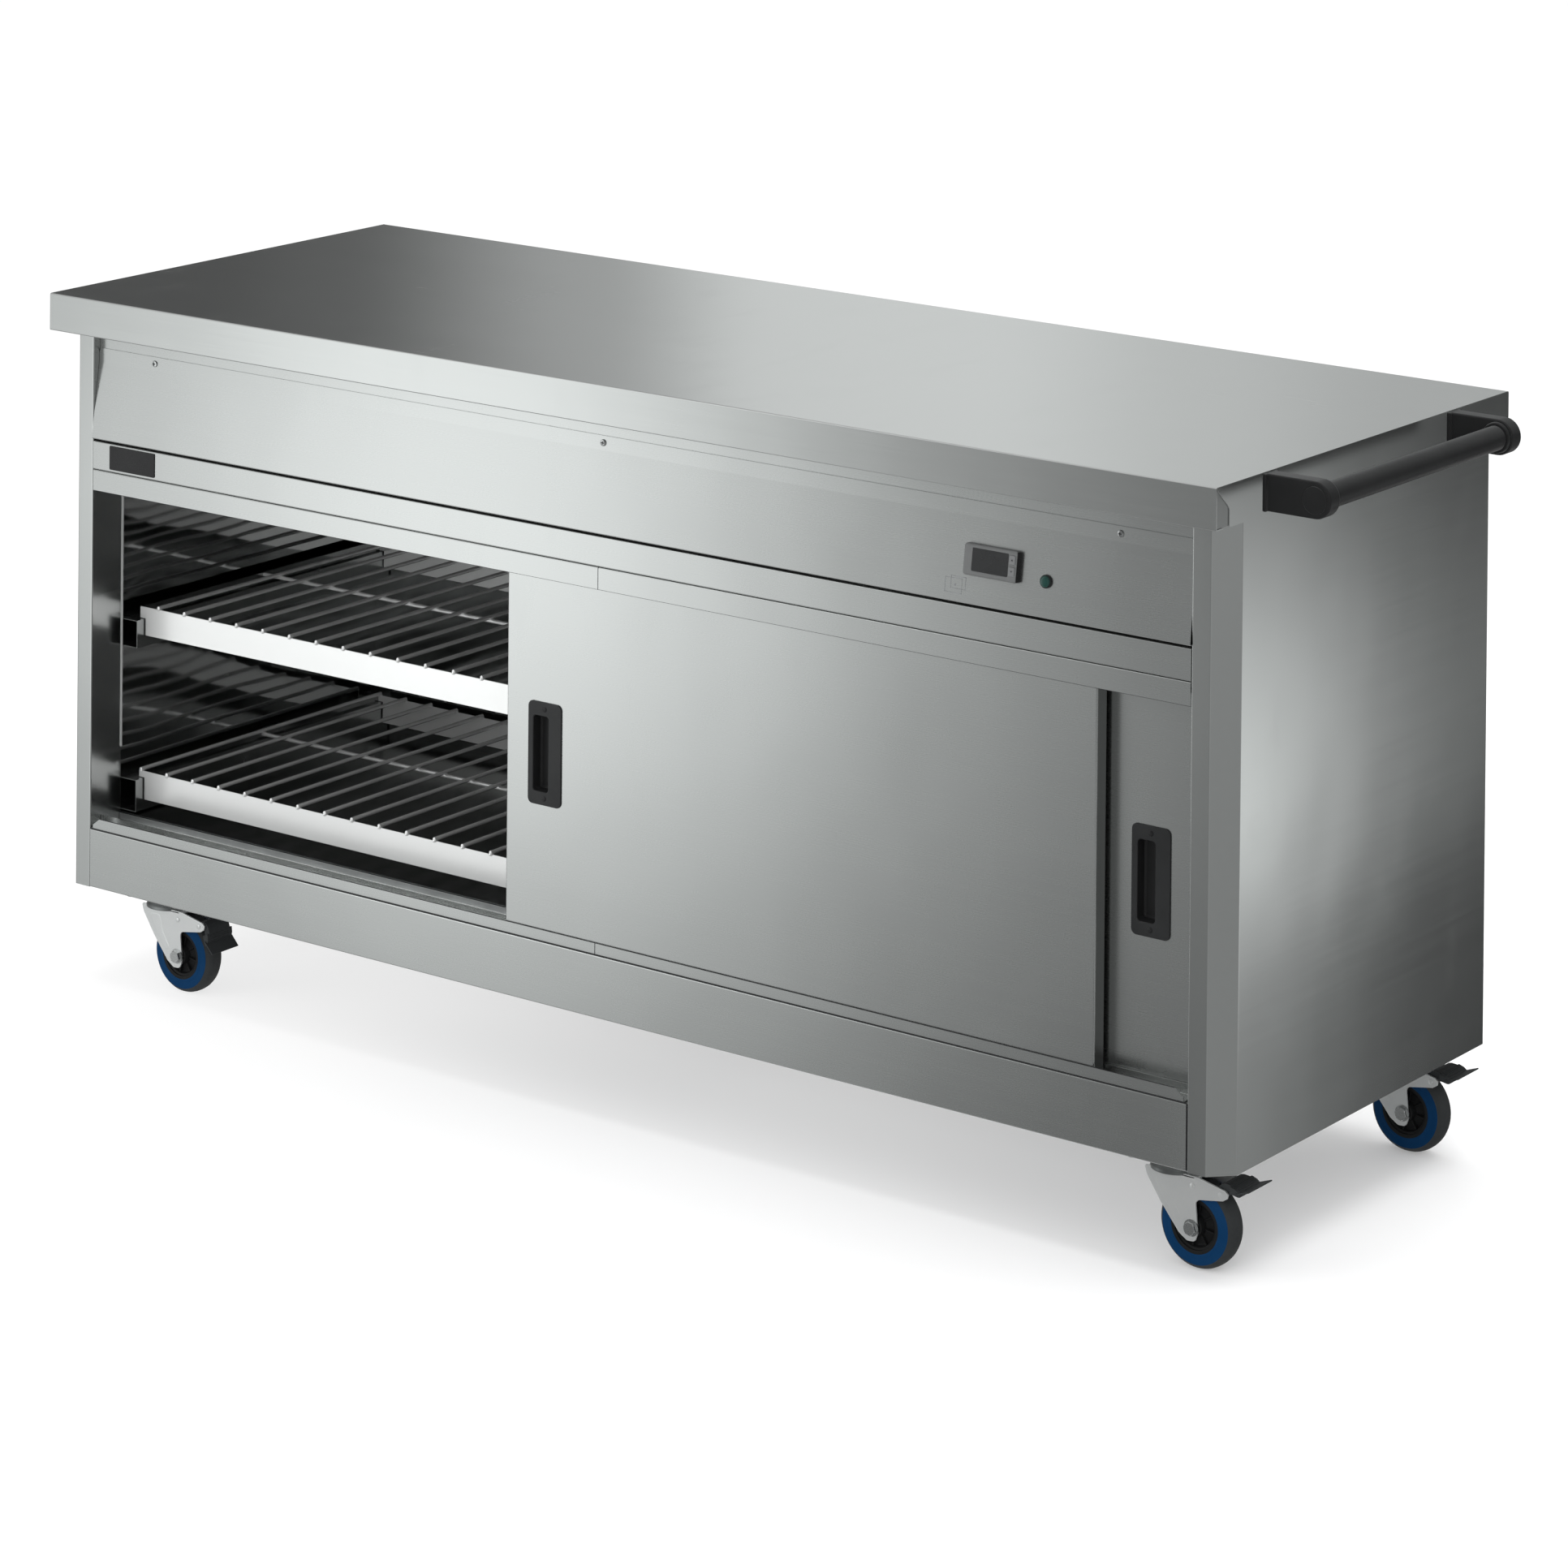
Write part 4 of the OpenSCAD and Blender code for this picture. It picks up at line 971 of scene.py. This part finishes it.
g = Graph("studio floor with painted glow")
fl = g.noise(1.2, 3, 0.5)
g.set(color=g.mix(g.remap(fl, 0.3, 0.7, 0, 1), (0.93, 0.93, 0.93), (0.91, 0.91, 0.915)), rough=0.9, metal=0.0, spec=0.1)
t = g.m.node_tree
out = [n for n in t.nodes if n.type == "OUTPUT_MATERIAL"][0]
diffuse = out.inputs[0].links[0].from_socket
tc = t.nodes.new("ShaderNodeTexCoord")
sp = t.nodes.new("ShaderNodeSeparateXYZ")
t.links.new(tc.outputs["Object"], sp.inputs[0])
# the floor partly glows, most at the left and least near the right castors: painted light that lifts the shadow under
# the cabinet
em = t.nodes.new("ShaderNodeEmission")
em.inputs[1].default_value = 1.04
mx = t.nodes.new("ShaderNodeMixShader")
t.links.new(ramp(t, sp.outputs[0], -1.5, 1.5, [(-1.4, 0.8), (-0.7, 0.7), (0.0, 0.42), (0.9, 0.2), (1.4, 0.4)]), mx.inputs[0])
t.links.new(diffuse, mx.inputs[1])
t.links.new(em.outputs[0], mx.inputs[2])
t.links.new(mx.outputs[0], out.inputs[0])
floor = stage_mesh("studio_floor", [(-40, -40, 0), (40, -40, 0), (40, 40, 0), (-40, 40, 0)], [(0, 1, 2, 3)], g.m)
floor.visible_glossy = False


def card(name, verts, axis, stops, vstops):
    """A light card seen only in reflections, graded along one axis and up its height."""
    m = bpy.data.materials.new(name)
    m.use_nodes = True
    t = m.node_tree
    t.nodes.clear()
    out = t.nodes.new("ShaderNodeOutputMaterial")
    em = t.nodes.new("ShaderNodeEmission")
    tc = t.nodes.new("ShaderNodeTexCoord")
    sp = t.nodes.new("ShaderNodeSeparateXYZ")
    t.links.new(tc.outputs["Object"], sp.inputs[0])
    a = ramp(t, sp.outputs["XYZ".index(axis)], stops[0][0] - 0.01, stops[-1][0] + 0.01, stops)
    b = ramp(t, sp.outputs[2], vstops[0][0] - 0.01, vstops[-1][0] + 0.01, vstops)
    vm = t.nodes.new("ShaderNodeVectorMath")
    vm.operation = "MULTIPLY"
    t.links.new(a, vm.inputs[0])
    t.links.new(b, vm.inputs[1])
    tint = t.nodes.new("ShaderNodeVectorMath")
    tint.operation = "MULTIPLY"
    t.links.new(vm.outputs[0], tint.inputs[0])
    tint.inputs[1].default_value = (0.975, 1.0, 0.995)
    t.links.new(tint.outputs[0], em.inputs[0])
    em.inputs[1].default_value = 1.0
    t.links.new(em.outputs[0], out.inputs[0])
    o = stage_mesh(name, verts, [(0, 1, 2, 3)], m)
    o.visible_camera = False
    o.visible_diffuse = False
    o.visible_transmission = False
    o.visible_shadow = False
    o.visible_volume_scatter = False
    return o


def wall(name, x0, x1, xs, zs):
    card(name, [(x0, -1.5, -3), (x1, -1.5, -3), (x1, -1.5, 3), (x0, -1.5, 3)], "X", xs, zs)


HIGH = [(0.33, 1.06), (0.5, 0.86), (0.8, 0.88), (2.5, 0.88)]
wall("card_front_left", -6, -1.95, [(-4.5, 0.5), (-2.9, 0.5), (-2.3, 0.68), (-1.9, 0.86)],
     [(-2.0, 0.6), (-0.6, 0.62), (-0.25, 0.74), (-0.12, 0.84), (-0.03, 0.9), (0.1, 0.97)] + HIGH)
wall("card_front", -1.95, 0.0, [(-2.3, 0.6), (-1.9, 0.86), (-1.5, 1.3), (-1.12, 1.27), (-0.77, 0.85), (-0.42, 0.45), (-0.02, 0.25)],
     [(-2.0, 0.25), (-0.6, 0.32), (-0.25, 0.5), (-0.12, 0.64), (-0.03, 0.77), (0.1, 0.92)] + HIGH)
wall("card_corner", 0.0, 4, [(-0.02, 0.24), (0.3, 0.2), (0.8, 0.24), (1.6, 0.34), (3.0, 0.3)],
     [(-2.0, 0.85), (-0.6, 0.85), (-0.25, 0.86), (0.1, 0.92)] + HIGH)
TOP_X = [(-4.0, 0.25), (-3.1, 0.12), (-2.6, 0.055), (-2.15, 0.06), (-1.85, 0.1), (-1.3, 0.4), (-0.95, 0.74), (-0.55, 0.75), (-0.15, 0.6), (0.2, 0.48), (1.6, 0.5)]
TOP_Z = [(0.9, 1.0), (1.6, 1.0), (3.0, 0.8)]
card("card_top", [(-5, 1.2, 0.92), (2.2, 1.2, 0.92), (2.2, 1.2, 3.0), (-5, 1.2, 3.0)], "X", TOP_X, TOP_Z)
SIDE_Y = [(0.0, 0.6), (0.35, 0.85), (0.66, 1.0), (0.83, 0.8), (0.93, 0.62), (1.03, 0.42), (1.14, 0.26), (1.35, 0.16), (3.0, 0.1)]
SIDE_Z = [(-1.2, 0.3), (-0.5, 0.3), (-0.1, 0.32), (-0.02, 0.44), (0.08, 0.8), (0.18, 1.0), (0.28, 0.95), (0.38, 0.76), (0.48, 0.56), (0.54, 0.45), (0.62, 0.36), (0.9, 0.22), (1.6, 0.3)]
card("card_side", [(1.5, -0.15, -2), (1.5, 3.2, -2), (1.5, 3.2, 2), (1.5, -0.15, 2)], "Y", SIDE_Y, SIDE_Z)

world = bpy.data.worlds.new("studio")
sc.world = world
world.use_nodes = True
t = world.node_tree
t.nodes.clear()
out = t.nodes.new("ShaderNodeOutputWorld")
lp = t.nodes.new("ShaderNodeLightPath")
bg_cam = t.nodes.new("ShaderNodeBackground")
bg_cam.inputs[0].default_value = (1, 1, 1, 1)
bg_cam.inputs[1].default_value = 1.0
bg_gl = t.nodes.new("ShaderNodeBackground")
tc = t.nodes.new("ShaderNodeTexCoord")
sp = t.nodes.new("ShaderNodeSeparateXYZ")
t.links.new(tc.outputs["Generated"], sp.inputs[0])
t.links.new(ramp(t, sp.outputs[2], -1.01, 1.01, [(-1.0, 0.5), (-0.3, 0.3), (0.1, 0.26), (0.5, 0.4), (1.0, 0.7)]), bg_gl.inputs[0])
bg_gl.inputs[1].default_value = 1.0
bg_df = t.nodes.new("ShaderNodeBackground")
bg_df.inputs[0].default_value = (1, 1, 1, 1)
bg_df.inputs[1].default_value = 1.0
m1 = t.nodes.new("ShaderNodeMixShader")
m2 = t.nodes.new("ShaderNodeMixShader")
t.links.new(lp.outputs["Is Glossy Ray"], m1.inputs[0])
t.links.new(bg_df.outputs[0], m1.inputs[1])
t.links.new(bg_gl.outputs[0], m1.inputs[2])
t.links.new(lp.outputs["Is Camera Ray"], m2.inputs[0])
t.links.new(m1.outputs[0], m2.inputs[1])
t.links.new(bg_cam.outputs[0], m2.inputs[2])
t.links.new(m2.outputs[0], out.inputs[0])


def area(name, loc, aim, size, power, glossy=False):
    d = bpy.data.lights.new(name, "AREA")
    d.shape = "RECTANGLE"
    d.size, d.size_y = size
    d.energy = power
    o = bpy.data.objects.new(name, d)
    o.location = loc
    o.rotation_euler = (Vector(aim) - Vector(loc)).to_track_quat("-Z", "Y").to_euler()
    o.visible_camera = False
    o.visible_glossy = glossy
    sc.collection.objects.link(o)
    return o


area("overhead", (0.0, 0.6, 4.2), (0.0, 0.0, 0.0), (5.0, 3.6), 150)
area("left front fill", (-3.2, -3.4, 0.9), (-0.3, 0.0, 0.1), (3.0, 1.4), 70)
area("front right fill", (1.6, -4.2, 1.6), (0.6, -0.5, 0.0), (3.0, 1.2), 60)

sc.view_settings.view_transform = "Standard"
sc.view_settings.look = "None"
sc.view_settings.exposure = 0.0
sc.view_settings.gamma = 1.0

# ---------------------------------------------------------------- camera
cam_data = bpy.data.cameras.new("camera")
cam = bpy.data.objects.new("camera", cam_data)
sc.collection.objects.link(cam)
sc.camera = cam
CAM = (3.900224, -5.043762, 2.180047)
right = Vector((0.81371932, 0.58118274, 0.00935371))
down = Vector((0.01275976, -0.00177214, -0.99991702))
fwd = Vector((-0.58111794, 0.81377115, -0.00885778))
rot = Matrix((right, -down, -fwd)).transposed()
cam.rotation_mode = "QUATERNION"
cam.location = CAM
cam.rotation_quaternion = rot.to_quaternion()
cam_data.sensor_width = 36
cam_data.sensor_fit = "HORIZONTAL"
cam_data.lens = 36 * 6337.58 / 1932
cam_data.clip_start = 0.05
cam_data.clip_end = 200


def shift_here(prop, value):
    """Lens shift that holds only while the camera stands at its main place."""
    fc = cam_data.driver_add(prop)
    for m in list(fc.modifiers):
        fc.modifiers.remove(m)
    dr = fc.driver
    dr.type = "SUM"
    v = dr.variables.new()
    v.name = "x"
    v.type = "SINGLE_PROP"
    v.targets[0].id = cam
    v.targets[0].data_path = "location[0]"
    while len(fc.keyframe_points):
        fc.keyframe_points.remove(fc.keyframe_points[0])
    fc.keyframe_points.add(4)
    for k, (x, y) in zip(fc.keyframe_points, ((CAM[0] - 0.06, 0.0), (CAM[0] - 0.02, value), (CAM[0] + 0.02, value), (CAM[0] + 0.06, 0.0))):
        k.co = (x, y)
        k.interpolation = "LINEAR"
    fc.extrapolation = "CONSTANT"
    fc.update()


shift_here("shift_x", (966 - 1210.26) / 1932)
shift_here("shift_y", -(966 + 793.41) / 1932)
